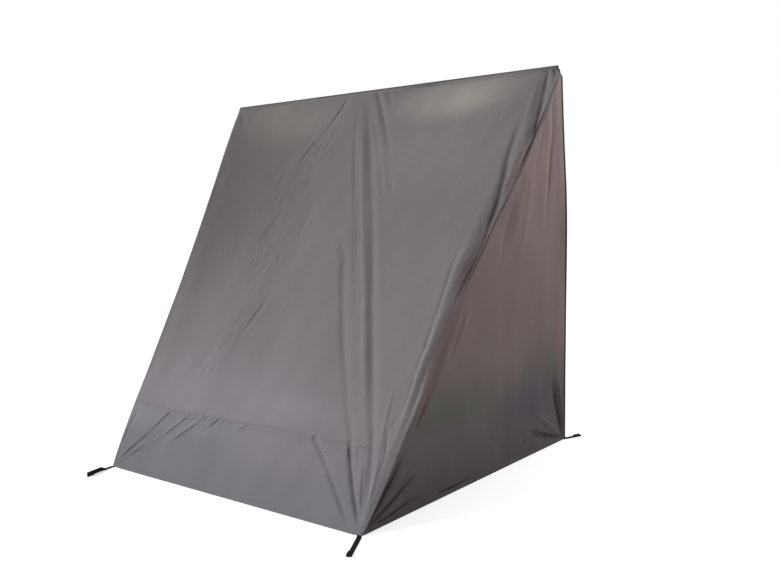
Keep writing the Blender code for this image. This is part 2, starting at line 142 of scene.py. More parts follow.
# Folds of the front sheet, in millimetres: path running down, across and up
# the slope, height, and width to the left and right. Then how the width grows,
# and how it fades in and out and how uneven it is, where that isn't as usual
FRONT_FOLDS = [
    # tension folds from the middle of the top edge to the right ground corner
    ([(-65, 2220), (30, 1970), (110, 1776), (208, 1529), (276, 1355), (329, 1217), (412, 982),
     (484, 789), (551, 610), (602, 483), (638, 401), (669, 322), (698, 206), (722, 70)], -8.8, 20,
     30, 0.6, (0.1, 0.08)),
    ([(-30, 2050), (42, 1842), (156, 1530), (281, 1216), (376, 981), (471, 739), (555, 520),
     (628, 357)], 7.2, 13, 18, 0.8, (0.2, 0.2)),
    ([(-86, 2105), (-72, 2015), (-6, 1843), (58, 1652), (150, 1412), (224, 1215), (296, 1030),
     (370, 855)], -3.6, 6, 10, 1, (0.08, 0.3)),
    ([(3, 2111), (89, 1938), (180, 1739), (253, 1585), (324, 1437)], -3.2, 7, 10, 1, (0.1, 0.3)),
    ([(-12, 2242), (42, 2142), (127, 1969), (208, 1832), (254, 1753)], -7.2, 10, 18, 1.2,
     (0.02, 0.5)),
    ([(66, 2225), (124, 2116)], -4.5, 9, 12, 1.2, (0.1, 0.6)),
    ([(288, 1641), (323, 1557)], -3.5, 7, 8, 1, (0.4, 0.4)),
    ([(100, 1349), (138, 1240), (172, 1197), (186, 1132), (250, 974), (310, 825), (356, 729),
     (414, 616), (461, 509), (518, 406), (554, 347), (582, 267), (619, 192), (649, 138),
     (694, 71), (720, 21)], -5.6, 14, 28, 0.5, (0.1, 0.05)),
    ([(240, 1560), (340, 1280), (460, 1000)], 2, 20, 14, 1.4),
    # the slack that rolls over beside the right corner line
    ([(905, 2020), (892, 1890), (887, 1775), (887, 1690), (893, 1609), (896, 1532), (897, 1467),
     (897, 1400), (895, 1330), (893, 1280)], -14, 13, 26, 1, (0.45, 0.25)),
    ([(897, 1450), (890, 1296), (881, 1240), (870, 1170), (858, 1100), (847, 1037), (835, 950)],
     -7, 30, 20, 0.8, (0.3, 0.35)),
    ([(937, 1788), (923, 1689), (912, 1598), (910, 1526)], 5, 12, 10, 1),
    ([(835, 1360), (825, 1198), (824, 1101), (815, 1005), (804, 887), (803, 796), (797, 772),
     (786, 682), (775, 573), (769, 486), (766, 401), (764, 300)], 7.5, 19, 24, 0.5, (0.2, 0.25)),
    ([(790, 1298), (789, 1170), (790, 1095), (791, 976), (784, 859), (780, 768), (769, 636),
     (756, 526), (750, 420)], -3.6, 12, 11, 0.6, (0.2, 0.3)),
    ([(822, 1950), (768, 1862), (735, 1790)], 3.2, 6, 7, 1, (0.4, 0.4)),
    ([(785, 1945), (742, 1872), (712, 1800)], 2.8, 6, 6, 1, (0.4, 0.4)),
    # wedge of spare cloth folded in under the right end of the bead
    ([(966, 2243), (961, 2136), (964, 2034), (974, 1911), (978, 1821), (976, 1760)], -10, 32, 16,
     0.8, (0.01, 0.2)),
    ([(966, 2243), (961, 2136), (964, 2034), (974, 1911), (978, 1821), (976, 1760)], -6.5, 5, 16,
     1, (0.01, 0.15)),
    ([(1003, 2243), (1003, 2189), (1010, 2140)], -4.5, 5, 9, 1, (0.02, 0.4)),
    ([(930, 2200), (924, 2080), (922, 1916), (929, 1780)], 3, 14, 12, 1, (0.2, 0.4)),
    # long crease from the top edge towards the left ground corner, and its strays
    ([(-190, 2243), (-211, 2152), (-234, 2084), (-271, 1996), (-298, 1941)], -5, 6, 11, 1,
     (0.02, 0.15)),
    ([(-305, 1950), (-329, 1868), (-357, 1791), (-374, 1758)], -4.1, 6, 11, 1, (0.2, 0.3)),
    ([(-236, 1930), (-264, 1832)], -3.6, 6, 6, 1),
    ([(-197, 1924), (-227, 1847)], -3.6, 6, 6, 1),
    ([(-428, 1745), (-448, 1687), (-440, 1600)], -4, 6, 9, 1),
    ([(-340, 1500), (-393, 1370), (-430, 1240)], -3.4, 6, 10, 1),
    ([(-235, 1236), (-232, 1141)], -2.6, 6, 7, 1),
    ([(-190, 1000), (-255, 812), (-300, 700)], -3.3, 6, 11, 1),
    ([(-1005, 2210), (-965, 2150), (-935, 2100), (-900, 2030)], -4.5, 8, 10, 1.2, (0.05, 0.5)),
    # fan at the left ground corner
    ([(-735, 330), (-737, 237), (-741, 174), (-746, 106), (-740, 40)], -5, 12, 7, 0.4,
     (0.3, 0.1)),
    ([(-520, 320), (-562, 261), (-596, 204), (-634, 152), (-684, 93), (-725, 30)], 6.2, 14, 5,
     0.5, (0.05, 0.1)),
    ([(-575, 155), (-611, 116), (-656, 73), (-722, 16)], 5.5, 7, 4, 0.5, (0.3, 0.1)),
    ([(-384, 327), (-403, 299), (-470, 230), (-517, 188), (-600, 115)], 6.2, 11, 8, 0.6,
     (0.04, 0.6)),
    ([(-285, 335), (-324, 281), (-412, 198), (-500, 130)], 6, 9, 6, 0.8, (0.04, 0.6)),
    ([(-188, 332), (-224, 282), (-290, 220)], -4.2, 6, 6, 1, (0.1, 0.6)),
    ([(-10, 334), (-49, 306), (-100, 270)], 3.6, 7, 6, 1, (0.1, 0.6)),
    # fan at the right ground corner
    ([(360, 332), (423, 275), (502, 192), (571, 124), (631, 59), (690, 12)], -5.8, 7, 16, 0.5,
     (0.02, 0.15)),
    ([(545, 350), (580, 262), (618, 188), (650, 130), (700, 50)], -6, 10, 12, 0.5, (0.03, 0.15)),
    ([(640, 270), (668, 170), (705, 60)], 4.5, 6, 6, 0.5, (0.3, 0.2)),
    ([(590, 345), (640, 225)], -2.6, 4, 5, 1, (0.1, 0.4)),
    ([(705, 450), (728, 353), (737, 314), (735, 254), (735, 195), (736, 100)], -5.5, 9, 7, 0.5,
     (0.3, 0.2)),
    ([(675, 620), (677, 537), (684, 452), (706, 330), (722, 180)], 3.6, 8, 9, 0.6),
]


def as_drawn(number, path, depth):
    return path, depth


def folded(x, y, folds, adjust=as_drawn):
    """Height that a list of folds adds. adjust can change each one's path and depth."""
    height = np.zeros(x.shape)
    for number, (path, depth, left, right, grow, *fade) in enumerate(folds):
        path, depth = adjust(number, np.array(path) * MM, depth * MM)
        height += fold(x, y, path, depth, left * MM, right * MM, grow, *fade)
    return height


def small_creases(x, y, seed, count, ups, spot, lengths, lean, bend, wide):
    """Height of short creases, strewn at random about a strip of the sheet."""
    draw = np.random.default_rng(seed)
    height = np.zeros(x.shape)
    for _ in range(count):
        up = draw.uniform(*ups)
        centre = np.array((spot(draw, up), up))
        length = draw.uniform(*lengths)
        turn = math.radians(draw.normal(*lean))
        step = np.array((-math.sin(turn), -math.cos(turn))) * length / 2
        knee = centre + [draw.normal(0, much) if much else 0.0 for much in bend]
        depth = draw.choice((-1, 1)) * draw.uniform(0.0010, 0.0028)
        path = [centre - step, knee, centre + step]
        height += fold(x, y, path, depth, wide, wide, 1.0, (0.4, 0.4))
    return height


def crinkled_strip(draw, up):
    """Across to a crease of the strip that runs down the left of middle."""
    middle = -0.30 - 0.05 * math.sin(up * 2.1) - 0.12 * (1 - smooth(up / 1.0))
    return middle + draw.normal(0, 0.055)


def front_half(up):
    """Half the front sheet's width, up the slope."""
    return FRONT_HALF + INSET * up / SLOPE


def slack_strip(draw, up):
    """Across to a crease of the slack strip beside the right corner line."""
    return front_half(up) - draw.uniform(0.012, 0.075)


SAG = 0.016  # how far the sheet sinks between its four corners
SWAGS = [(-0.62, 0.27, 0.008), (0.46, 0.30, 0.016)]  # below the bead: middle, reach, depth
SWAG_UP = 2.07
PUCKER = 0.0009
PUCKERED = [(-0.50, 0.20, 1.0), (-0.2, 0.12, 0.7), (0.55, 0.18, 0.6)]  # middle, reach, strength
SWELL = 0.0032  # beside a corner seam
# The cloth is held flat this close to a seam, a corner patch, a hem or the bead
SEAM_HELD = 0.016
STIFF, STIFF_FADE = 0.014, 0.034
HEM_HELD = 0.026
BEAD_HELD = 0.022


def seam_up(x):
    """Where the cross seam runs: it wanders a little."""
    return SEAM_UP + 0.004 * np.sin(x * 6.0 + 0.4) + 0.0015 * np.sin(x * 31.0)


def puckers(x, y):
    """Small gathers that the cross seam's stitching pulls into the cloth."""
    off = y - seam_up(x)
    slant = x - 0.9 * off
    strong = 0.25 + sum(much * bump(x, middle, reach) for middle, reach, much in PUCKERED)
    teeth = np.sin(slant * 2 * math.pi / 0.034 + 2.0 * np.sin(slant * 19))
    teeth = teeth + 0.6 * np.sin(slant * 2 * math.pi / 0.021 + 1.3)
    return PUCKER * strong * teeth * np.where(off < 0, bump(off, 0, 0.035), bump(off, 0, 0.012))


def beside_seam(edge, up):
    """The cloth swells a little beside a corner seam, so the seam lies in a groove."""
    strong = smooth((up - 1.05) / 0.4)
    return SWELL * smooth(edge / 0.006) * (1 - smooth((edge - 0.009) / 0.028)) * strong


def front_height(x, y):
    """How far the slack cloth stands out of its plane."""
    height = -SAG * np.sin(np.clip(y / SLOPE, 0, 1) * math.pi) * (1 - (x / 1.1) ** 2)
    height += 0.0045 * waves(x, y * 0.6, 3, 0.55) + 0.0012 * waves(x, y * 0.7, 4, 0.16)
    for middle, reach, depth in SWAGS:
        height -= depth * bump(x, middle, reach) * bump(y, SWAG_UP, 0.12)
    height += folded(x, y, FRONT_FOLDS)
    height += small_creases(x, y, 11, 80, (0.50, 2.05), crinkled_strip, (0.05, 0.17),
                            lean=(24, 6), bend=(0.003, 0.003), wide=0.007)
    height += small_creases(x, y, 23, 90, (0.30, 1.95), slack_strip, (0.03, 0.10),
                            lean=(6, 8), bend=(0.002, 0.0), wide=0.0055)
    height += puckers(x, y)
    edge = front_half(y) - np.abs(x)
    stiff = smooth((np.hypot(edge, y) - STIFF) / STIFF_FADE)
    height = height * stiff * smooth(edge / SEAM_HELD) + beside_seam(edge, y) * (x > 0)
    return height * smooth(y / HEM_HELD) * smooth((SLOPE - y) / BEAD_HELD)


# How the corner lines hang: metres up the slope, how far they are drawn in,
# how far they lie behind the sheet's plane, and the width that rolls back
CORNER_LINES = {
    1: [(0.0, 0.0, 0.0, 0.03), (0.15, -0.003, 0.004, 0.03), (0.3, 0.003, 0.008, 0.03),
        (0.4, 0.006, 0.010, 0.035), (0.5, 0.006, 0.013, 0.04), (0.6, 0.017, 0.018, 0.047),
        (0.7, 0.033, 0.024, 0.055), (0.85, 0.032, 0.033, 0.07), (1.0, 0.035, 0.038, 0.08),
        (1.1, 0.034, 0.037, 0.085), (1.25, 0.025, 0.036, 0.085), (1.4, 0.023, 0.032, 0.085),
        (1.5, 0.012, 0.030, 0.085), (1.6, 0.003, 0.026, 0.08), (1.75, 0.006, 0.022, 0.075),
        (1.9, 0.002, 0.014, 0.06), (2.0, 0.0, 0.010, 0.05), (2.1, -0.004, 0.005, 0.045),
        (2.24, -0.003, 0.0, 0.04)],
    -1: [(0.0, 0.0, 0.0, 0.1), (0.06, -0.006, 0.0, 0.1), (0.3, -0.009, 0.002, 0.1),
         (0.5, -0.003, 0.005, 0.1), (0.85, 0.001, 0.008, 0.1), (1.0, 0.005, 0.008, 0.1),
         (1.1, 0.004, 0.008, 0.1), (1.4, 0.0, 0.008, 0.1), (1.7, -0.006, 0.006, 0.1),
         (1.9, -0.011, 0.003, 0.1), (2.1, -0.012, 0.0, 0.1), (2.24, -0.008, 0.0, 0.1)],
}
# The bead is held short of the right corner, which is cut off and drawn back
# to the rear. Height, then the shift of the corner line in x and y
CUT_CORNER = np.array([(1.70, 0.0, 0.0), (1.75, -0.0052, 0.0123), (1.775, -0.0079, 0.0186),
                       (1.80, -0.024, 0.0)])
CUT_HEIGHT = 1.775
CORNER_HELD = 0.05  # the corner lines start straight at the ground
DRAWN_REACH = 0.30  # how far into the sheet a drawn-in corner line pulls
CUT_REACH = 0.07


def evened(at, path, column, spread):
    """A column of a path at some places, averaged over a spread of steps."""
    return sum(np.interp(at + step, path[:, 0], path[:, column]) for step in spread) / len(spread)


def corner_line(side, up):
    """How far a corner line is drawn in, and back, and the width that rolls."""
    path = np.array(CORNER_LINES[side])
    return [evened(up, path, column, (-0.05, -0.025, 0.0, 0.025, 0.05)) for column in (1, 2, 3)]


def corner_shift(side, up):
    """How far a corner line lies from straight, as x, y and z."""
    inward, back, _ = corner_line(side, up)
    held = smooth(up / CORNER_HELD)
    return (np.multiply.outer(-side * inward * held, ACROSS)
            - np.multiply.outer(back * held, FRONT_OUT))


def cut_shift(side, height):
    """How far the cut corner pulls the corner line back, as x, y and z."""
    if side < 0:
        return np.zeros((*np.shape(height), 3))
    moved = [np.interp(height, CUT_CORNER[:, 0], CUT_CORNER[:, k]) for k in (1, 2)]
    return np.stack([*moved, np.zeros(np.shape(height))], axis=-1)


def front_point(x, up, off=0.0):
    """Points on the front sheet. off lifts them out of it."""
    x, up, off = np.broadcast_arrays(*(np.asarray(v, float) for v in (x, up, off)))
    edge = np.maximum(front_half(up) - np.abs(x), 0)
    place = FRONT_FOOT + np.multiply.outer(x, ACROSS) + np.multiply.outer(up, UP_SLOPE)
    held = smooth(up / CORNER_HELD)
    drawn = (1 - np.clip(edge / DRAWN_REACH, 0, 1)) ** 1.6 * held
    for side in (-1, 1):
        inward, back, roll = corner_line(side, up)
        here = side * x > 0
        place -= np.multiply.outer(side * inward * drawn * here, ACROSS)
        rolled = (1 - np.clip(edge / roll, 0, 1)) ** 1.25 * held
        place -= np.multiply.outer(back * rolled * here, FRONT_OUT)
    near = smooth(1 - edge / CUT_REACH) * (x > 0)
    place += near[..., None] * cut_shift(1, up * TOP_HEIGHT / SLOPE)
    return place + np.multiply.outer(front_height(x, up) + off, FRONT_OUT)


def side_frame(side):
    """A side panel's directions along its hem and out of it, and its foot."""
    along = np.array((side * INSET, DEPTH, 0.0)) / SIDE_LENGTH
    out = np.array((side * DEPTH, -INSET, 0.0)) / SIDE_LENGTH
    return along, out, np.array((side * FRONT_HALF, REAR - DEPTH, 0.0))


def side_front(height):
    """Along the side hem from the front corner to the corner line."""
    return SIDE_LENGTH * height / TOP_HEIGHT


# Folds of a side panel, in millimetres along the hem and up, as they show on
# the right. The left one is the mirror, with folds of its own depth and place
SIDE_FOLDS = [
    ([(1285, 1720), (1280, 1645), (1274, 1555), (1262, 1465), (1238, 1374), (1227, 1260),
     (1218, 1146), (1205, 1000)], -6.5, 8, 13, 1.5, (0.04, 0.5), 0.1),
    ([(1245, 1680), (1235, 1600), (1220, 1440), (1200, 1250), (1170, 1020)], 6, 20, 16, 1.6,
     (0.2, 0.45)),
    ([(1182, 1520), (1175, 1445), (1141, 1388), (1100, 1280)], -3.5, 8, 12, 1.4, (0.15, 0.5)),
    ([(1039, 1342), (1020, 1253), (996, 1188), (960, 1102), (923, 1030), (885, 946), (850, 860)],
     -7, 16, 20, 1.3, (0.1, 0.35), 0.1),
    ([(1100, 1380), (1080, 1200), (1040, 1020), (980, 850)], 6, 20, 22, 1.4, (0.2, 0.5)),
    ([(690, 775), (653, 702), (605, 623), (565, 560)], 6.5, 7, 7, 1, (0.25, 0.35)),
    ([(665, 770), (628, 695), (580, 615), (540, 540)], -5, 8, 7, 1.2),
    ([(1325, 1600), (1318, 1300), (1315, 900), (1323, 450)], 2, 18, 20, 1.2),
    ([(559, 358), (503, 320)], -3, 6, 7, 1, (0.4, 0.4)),
    # fan at the front ground corner
    ([(400, 470), (368, 400), (326, 346), (290, 300)], -5.6, 9, 12, 1, (0.3, 0.4)),
    ([(250, 262), (168, 188), (127, 137), (71, 77), (25, 22)], -8.5, 9, 7, 0.35, (0.15, 0.05)),
    ([(265, 200), (190, 152), (110, 92), (40, 32)], 6.5, 10, 10, 0.4, (0.3, 0.1)),
    ([(300, 150), (209, 114), (151, 84), (87, 53), (30, 18)], -8, 8, 7, 0.4, (0.15, 0.05)),
    ([(300, 52), (208, 43), (140, 28), (71, 18)], -6, 8, 8, 0.5, (0.2, 0.1)),
    ([(330, 75), (230, 66), (140, 46), (60, 22)], 5, 9, 8, 0.5, (0.3, 0.1)),
    ([(660, 30), (551, 35), (469, 33), (380, 26)], -6, 9, 8, 0.8, (0.3, 0.2)),
    # fan at the rear ground corner
    ([(1255, 400), (1269, 297), (1284, 218), (1306, 136), (1340, 35)], -7.5, 24, 13, 0.35,
     (0.45, 0.05)),
    ([(1298, 360), (1329, 208), (1347, 101), (1354, 40)], 6, 10, 6, 0.5, (0.3, 0.1)),
    ([(1030, 125), (1110, 100), (1190, 64), (1260, 35), (1330, 15)], -9, 12, 11, 0.4,
     (0.35, 0.05)),
    ([(1100, 200), (1180, 145), (1260, 80), (1330, 26)], 4.5, 14, 14, 0.4, (0.4, 0.1)),
    ([(1040, 98), (1000, 86)], -4, 12, 10, 1, (0.5, 0.5)),
    ([(860, 112), (810, 107)], -4.5, 10, 9, 1, (0.5, 0.5)),
]


SIDE_SAG = 0.012
SIDE_HEM_HELD = 0.030
BINDING_HELD = 0.060
TIP_HELD = 0.06


def left_fold(number, path, depth):
    """A fold of the left side, made a little different from the right one's."""
    path = path + (0.010 * math.sin(number * 1.7), 0.0)
    return path, depth * (0.75 + 0.5 * math.sin(number * 2.4 + 1) ** 2)


def side_height(side, along, up):
    """How far a side panel stands out of its plane."""
    height = -SIDE_SAG * bump(along, 0.85, 0.40) * bump(up, 0.55, 0.42)
    height += 0.0040 * waves(along, up * 0.6, 21 + side, 0.50)
    height += 0.0010 * waves(along, up * 0.6, 25 + side, 0.14)
    height += folded(along, up, SIDE_FOLDS, left_fold if side < 0 else as_drawn)
    front = along - side_front(up)
    rear = SIDE_LENGTH - along
    stiff = (smooth((np.hypot(front, up) - STIFF) / STIFF_FADE)
             * smooth((np.hypot(rear, up) - STIFF) / STIFF_FADE))
    height = height * smooth(front / SEAM_HELD) * smooth(rear / BINDING_HELD) * stiff
    height += 0.7 * beside_seam(front - 0.006, up) * smooth(rear / 0.03)
    return height * smooth(up / SIDE_HEM_HELD) * smooth((CUT_HEIGHT - up) / TIP_HELD)


# How far the upright edges bow out to the side, by height
REAR_PATH = np.array([
    (0.0, 0.0), (0.30, 0.004), (0.52, 0.008), (0.66, 0.010), (0.80, 0.013), (0.93, 0.016),
    (1.07, 0.018), (1.20, 0.0175), (1.33, 0.0125), (1.46, 0.0075), (1.60, 0.0035), (1.75, 0.0)])


def rear_bow(side, up):
    """How far an upright edge bows out to the side, and in along the cut corner."""
    bow = evened(up, REAR_PATH, 1, (-0.05, 0.0, 0.05))
    if side > 0:
        bow = bow - 0.48 * np.maximum(up - CLIP_HEIGHT, 0.0)
    return np.multiply.outer(side * bow, ACROSS)


def side_point(side, along, up, off=0.0):
    """Points on a side panel. off lifts them out of it."""
    along, up, off = np.broadcast_arrays(*(np.asarray(v, float) for v in (along, up, off)))
    hem_way, out, foot = side_frame(side)
    front = side_front(up)
    share = np.clip((along - front) / np.maximum(SIDE_LENGTH - front, 1e-6), 0, 1)[..., None]
    place = foot + np.multiply.outer(along, hem_way) + np.multiply.outer(up, UP)
    place = place + (1 - share) ** 1.6 * corner_shift(side, up * SLOPE / TOP_HEIGHT)
    place = place + (1 - share) * cut_shift(side, up) + share**1.15 * rear_bow(side, up)
    return place + np.multiply.outer(side_height(side, along, up) + off, out)


def steps(*spans):
    """Values from span to span, each given as (start, end, spacing)."""
    values = []
    for start, end, spacing in spans:
        count = max(1, round((end - start) / spacing))
        values += [start + (end - start) * k / count for k in range(count)]
    return np.array(values + [spans[-1][1]])


def link(piece, body, slot, material, *nodes):
    """Put a piece on its body, with its finish, in place of CAD nodes."""
    piece.data.materials.append(material)
    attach(piece, body)
    if nodes:
        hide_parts(*nodes)
    return piece


def new_piece(name, points, faces, cut, flip=False):
    """A piece from points and faces. cut has each point's place on the flat cloth."""
    mesh = bpy.data.meshes.new(name)
    if flip:
        faces = [face[::-1] for face in faces]
    mesh.from_pydata(np.asarray(points).tolist(), [], faces)
    corners = np.zeros(len(mesh.loops), int)
    mesh.loops.foreach_get("vertex_index", corners)
    mesh.uv_layers.new(name="cut").data.foreach_set("uv", np.asarray(cut)[corners].ravel())
    mesh.shade_smooth()
    piece = bpy.data.objects.new(name, mesh)
    bpy.context.scene.collection.objects.link(piece)
    return piece


def thicken(piece, thickness, outward):
    """Give a piece a thickness: inwards for -1, to both sides for 0."""
    thick = piece.modifiers.new("cloth", "SOLIDIFY")
    thick.thickness = thickness
    thick.offset = outward
    return piece


def woven(name, grid, cut, flip=False, thickness=CLOTH, outward=-1):
    """A sheet from a grid of points, with their places on the flat cloth."""
    rows, columns = grid.shape[:2]
    number = np.arange(rows * columns).reshape(rows, columns)
    corners = [number[:-1, :-1], number[:-1, 1:], number[1:, 1:], number[1:, :-1]]
    faces = np.stack([c.ravel() for c in corners], axis=1).tolist()
    piece = new_piece(name, grid.reshape(-1, 3), faces, cut.reshape(-1, 2), flip)
    return thicken(piece, thickness, outward)


def node(tree, kind, inputs=None, **settings):
    """A shader node. Each input is a value, or the output that feeds it."""
    made = tree.nodes.new(kind)
    for key, value in settings.items():
        setattr(made, key, value)
    for key, value in (inputs or {}).items():
        if isinstance(value, bpy.types.NodeSocket):
            tree.links.new(value, made.inputs[key])
        else:
            made.inputs[key].default_value = value
    return made


def maths(tree, operation, *values):
    return node(tree, "ShaderNodeMath", dict(enumerate(values)), operation=operation).outputs[0]


def noise(tree, place, scale, detail):
    return node(tree, "ShaderNodeTexNoise", {"Vector": place, "Scale": scale, "Detail": detail},
                noise_dimensions="3D").outputs["Fac"]


def stripes(tree, cut, direction, scale, distortion):
    """Threads or ribs side by side on the flat cloth."""
    return node(tree, "ShaderNodeTexWave", {
        "Vector": cut, "Scale": scale, "Distortion": distortion, "Detail": 1.0,
    }, wave_type="BANDS", bands_direction=direction).outputs["Fac"]


def relief(tree, height, strength, distance, under=None):
    """A raised pattern, over another one."""
    inputs = {"Height": height, "Strength": strength, "Distance": distance}
    if under is not None:
        inputs["Normal"] = under
    return node(tree, "ShaderNodeBump", inputs).outputs["Normal"]


def surface(name, shine):
    """A new material, its nodes and shader, and places on the piece."""
    material = bpy.data.materials.new(name)
    material.use_nodes = True
    tree = material.node_tree
    shader = tree.nodes["Principled BSDF"]
    shader.inputs["Specular IOR Level"].default_value = shine
    return material, tree, shader, node(tree, "ShaderNodeTexCoord").outputs["Object"]


def dress(tree, shader, colour, normal, patchy, low, high):
    """Feed the shader. Its roughness goes from low to high with the patches."""
    rough = node(tree, "ShaderNodeMapRange", {"Value": patchy, "To Min": low, "To Max": high})
    tree.links.new(colour, shader.inputs["Base Color"])
    tree.links.new(normal, shader.inputs["Normal"])
    tree.links.new(rough.outputs["Result"], shader.inputs["Roughness"])


def painted_streak(a, b, width, tint):
    """A long strip of painted shade between two places on the flat cloth, or of painted light where
    the tint is above 1.
    """
    turn = math.degrees(math.atan2(b[1] - a[1], b[0] - a[0]))
    return ((a[0] + b[0]) / 2, (a[1] + b[1]) / 2, math.dist(a, b) / 2, width, turn, tint)


THREAD_SCALE = 300.0
THREAD_RELIEF = 0.00012
DRIFT = 0.22  # how far broad cloudiness moves the colour up and down
RIDGE = 0.11  # height of a crease in its noise
CREASE_SIZE = (0.150, 0.030)


def cloth_material(name, ramp, span, painted_light_and_tints=(), crumples=(), roughness=0.60):
    """Thin coated polyester.

    ramp has the colour at places up the cut cloth, from 0 to span metres. On the
    side panels it darkens towards the ground, which is painted shade.
    The soft patches that follow have centre, reach, turn in degrees, and tint.
    Most are painted shade and painted highlights: dark creases, bright ridges,
    shade beside seams and light on the swags. A few tint the cloth's own colour.
    crumples are patches with fine creases: the same, with the creases' depth.
    """
    material, tree, shader, place = surface(name, 0.09)
    shader.inputs["Roughness"].default_value = roughness
    shader.inputs["Sheen Weight"].default_value = 0.05
    shader.inputs["Sheen Roughness"].default_value = 0.5
    cut = node(tree, "ShaderNodeUVMap", uv_map="cut").outputs["UV"]

    def turned(x, y, reach_x, reach_y, turn):
        """Places on the cloth as seen from one spot, in units of its reach."""
        return node(tree, "ShaderNodeMapping", {
            "Vector": cut, "Location": (x, y, 0), "Rotation": (0, 0, math.radians(turn)),
            "Scale": (reach_x, reach_y, 1),
        }, vector_type="TEXTURE").outputs["Vector"]

    def soft_spot(*where):
        """1 in the middle of a spot, 0 from its rim outwards."""
        away = node(tree, "ShaderNodeVectorMath", {0: turned(*where)}, operation="LENGTH")
        return node(tree, "ShaderNodeMapRange", {
            "Value": away.outputs["Value"], "From Min": 1.0, "From Max": 0.15,
        }, interpolation_type="SMOOTHSTEP").outputs["Result"]

    def multiplied(colour, by, factor):
        return node(tree, "ShaderNodeMix", {"A": colour, "B": by, "Factor": factor},
                    data_type="RGBA", blend_type="MULTIPLY").outputs["Result"]

    # colour up the cloth, with the painted shade of its ramp, drifted by broad cloudiness
    up = node(tree, "ShaderNodeSeparateXYZ", {"Vector": cut}).outputs["Y"]
    level = node(tree, "ShaderNodeMapRange", {"Value": up, "From Max": span}).outputs["Result"]
    moved = maths(tree, "MULTIPLY_ADD", noise(tree, place, 2.2, 3.0), DRIFT, level)
    colours = node(tree, "ShaderNodeValToRGB",
                   {"Fac": maths(tree, "SUBTRACT", moved, DRIFT / 2)})
    elements = colours.color_ramp.elements
    while len(elements) < len(ramp):
        elements.new(0.5)
    for element, (position, colour) in zip(elements, ramp):
        element.position = position
        element.color = (*colour, 1.0)
    shaded = colours.outputs["Color"]
    # painted shade and painted light, patch by patch
    for *where, tint in painted_light_and_tints:
        shaded = multiplied(shaded, (*tint, 1.0), soft_spot(*where))

    # mottling of the coating, and the two thread directions
    mottle = noise(tree, place, 38.0, 4.0)
    weave = maths(tree, "ADD", *(stripes(tree, cut, way, THREAD_SCALE, 0.6) for way in "XY"))
    shade = maths(tree, "MULTIPLY_ADD", mottle, 0.10, 0.90)
    grain = maths(tree, "MULTIPLY_ADD", weave, 0.05, shade)
    colour = multiplied(shaded, grain, 1.0)

    # fine crumple, creases and weave
    normal = relief(tree, noise(tree, place, 55.0, 5.0), 0.35, 0.0012)
    for *where, depth in crumples:
        lines = noise(tree, turned(*where[:2], *CREASE_SIZE, where[4]), 1.0, 2.0)
        masked = maths(tree, "MULTIPLY", maths(tree, "PINGPONG", lines, RIDGE), soft_spot(*where))
        normal = relief(tree, masked, 1.0, depth / RIDGE, normal)
    normal = relief(tree, weave, 0.25, THREAD_RELIEF, normal)
    dress(tree, shader, colour, normal, mottle, roughness - 0.05, roughness + 0.07)
    return material


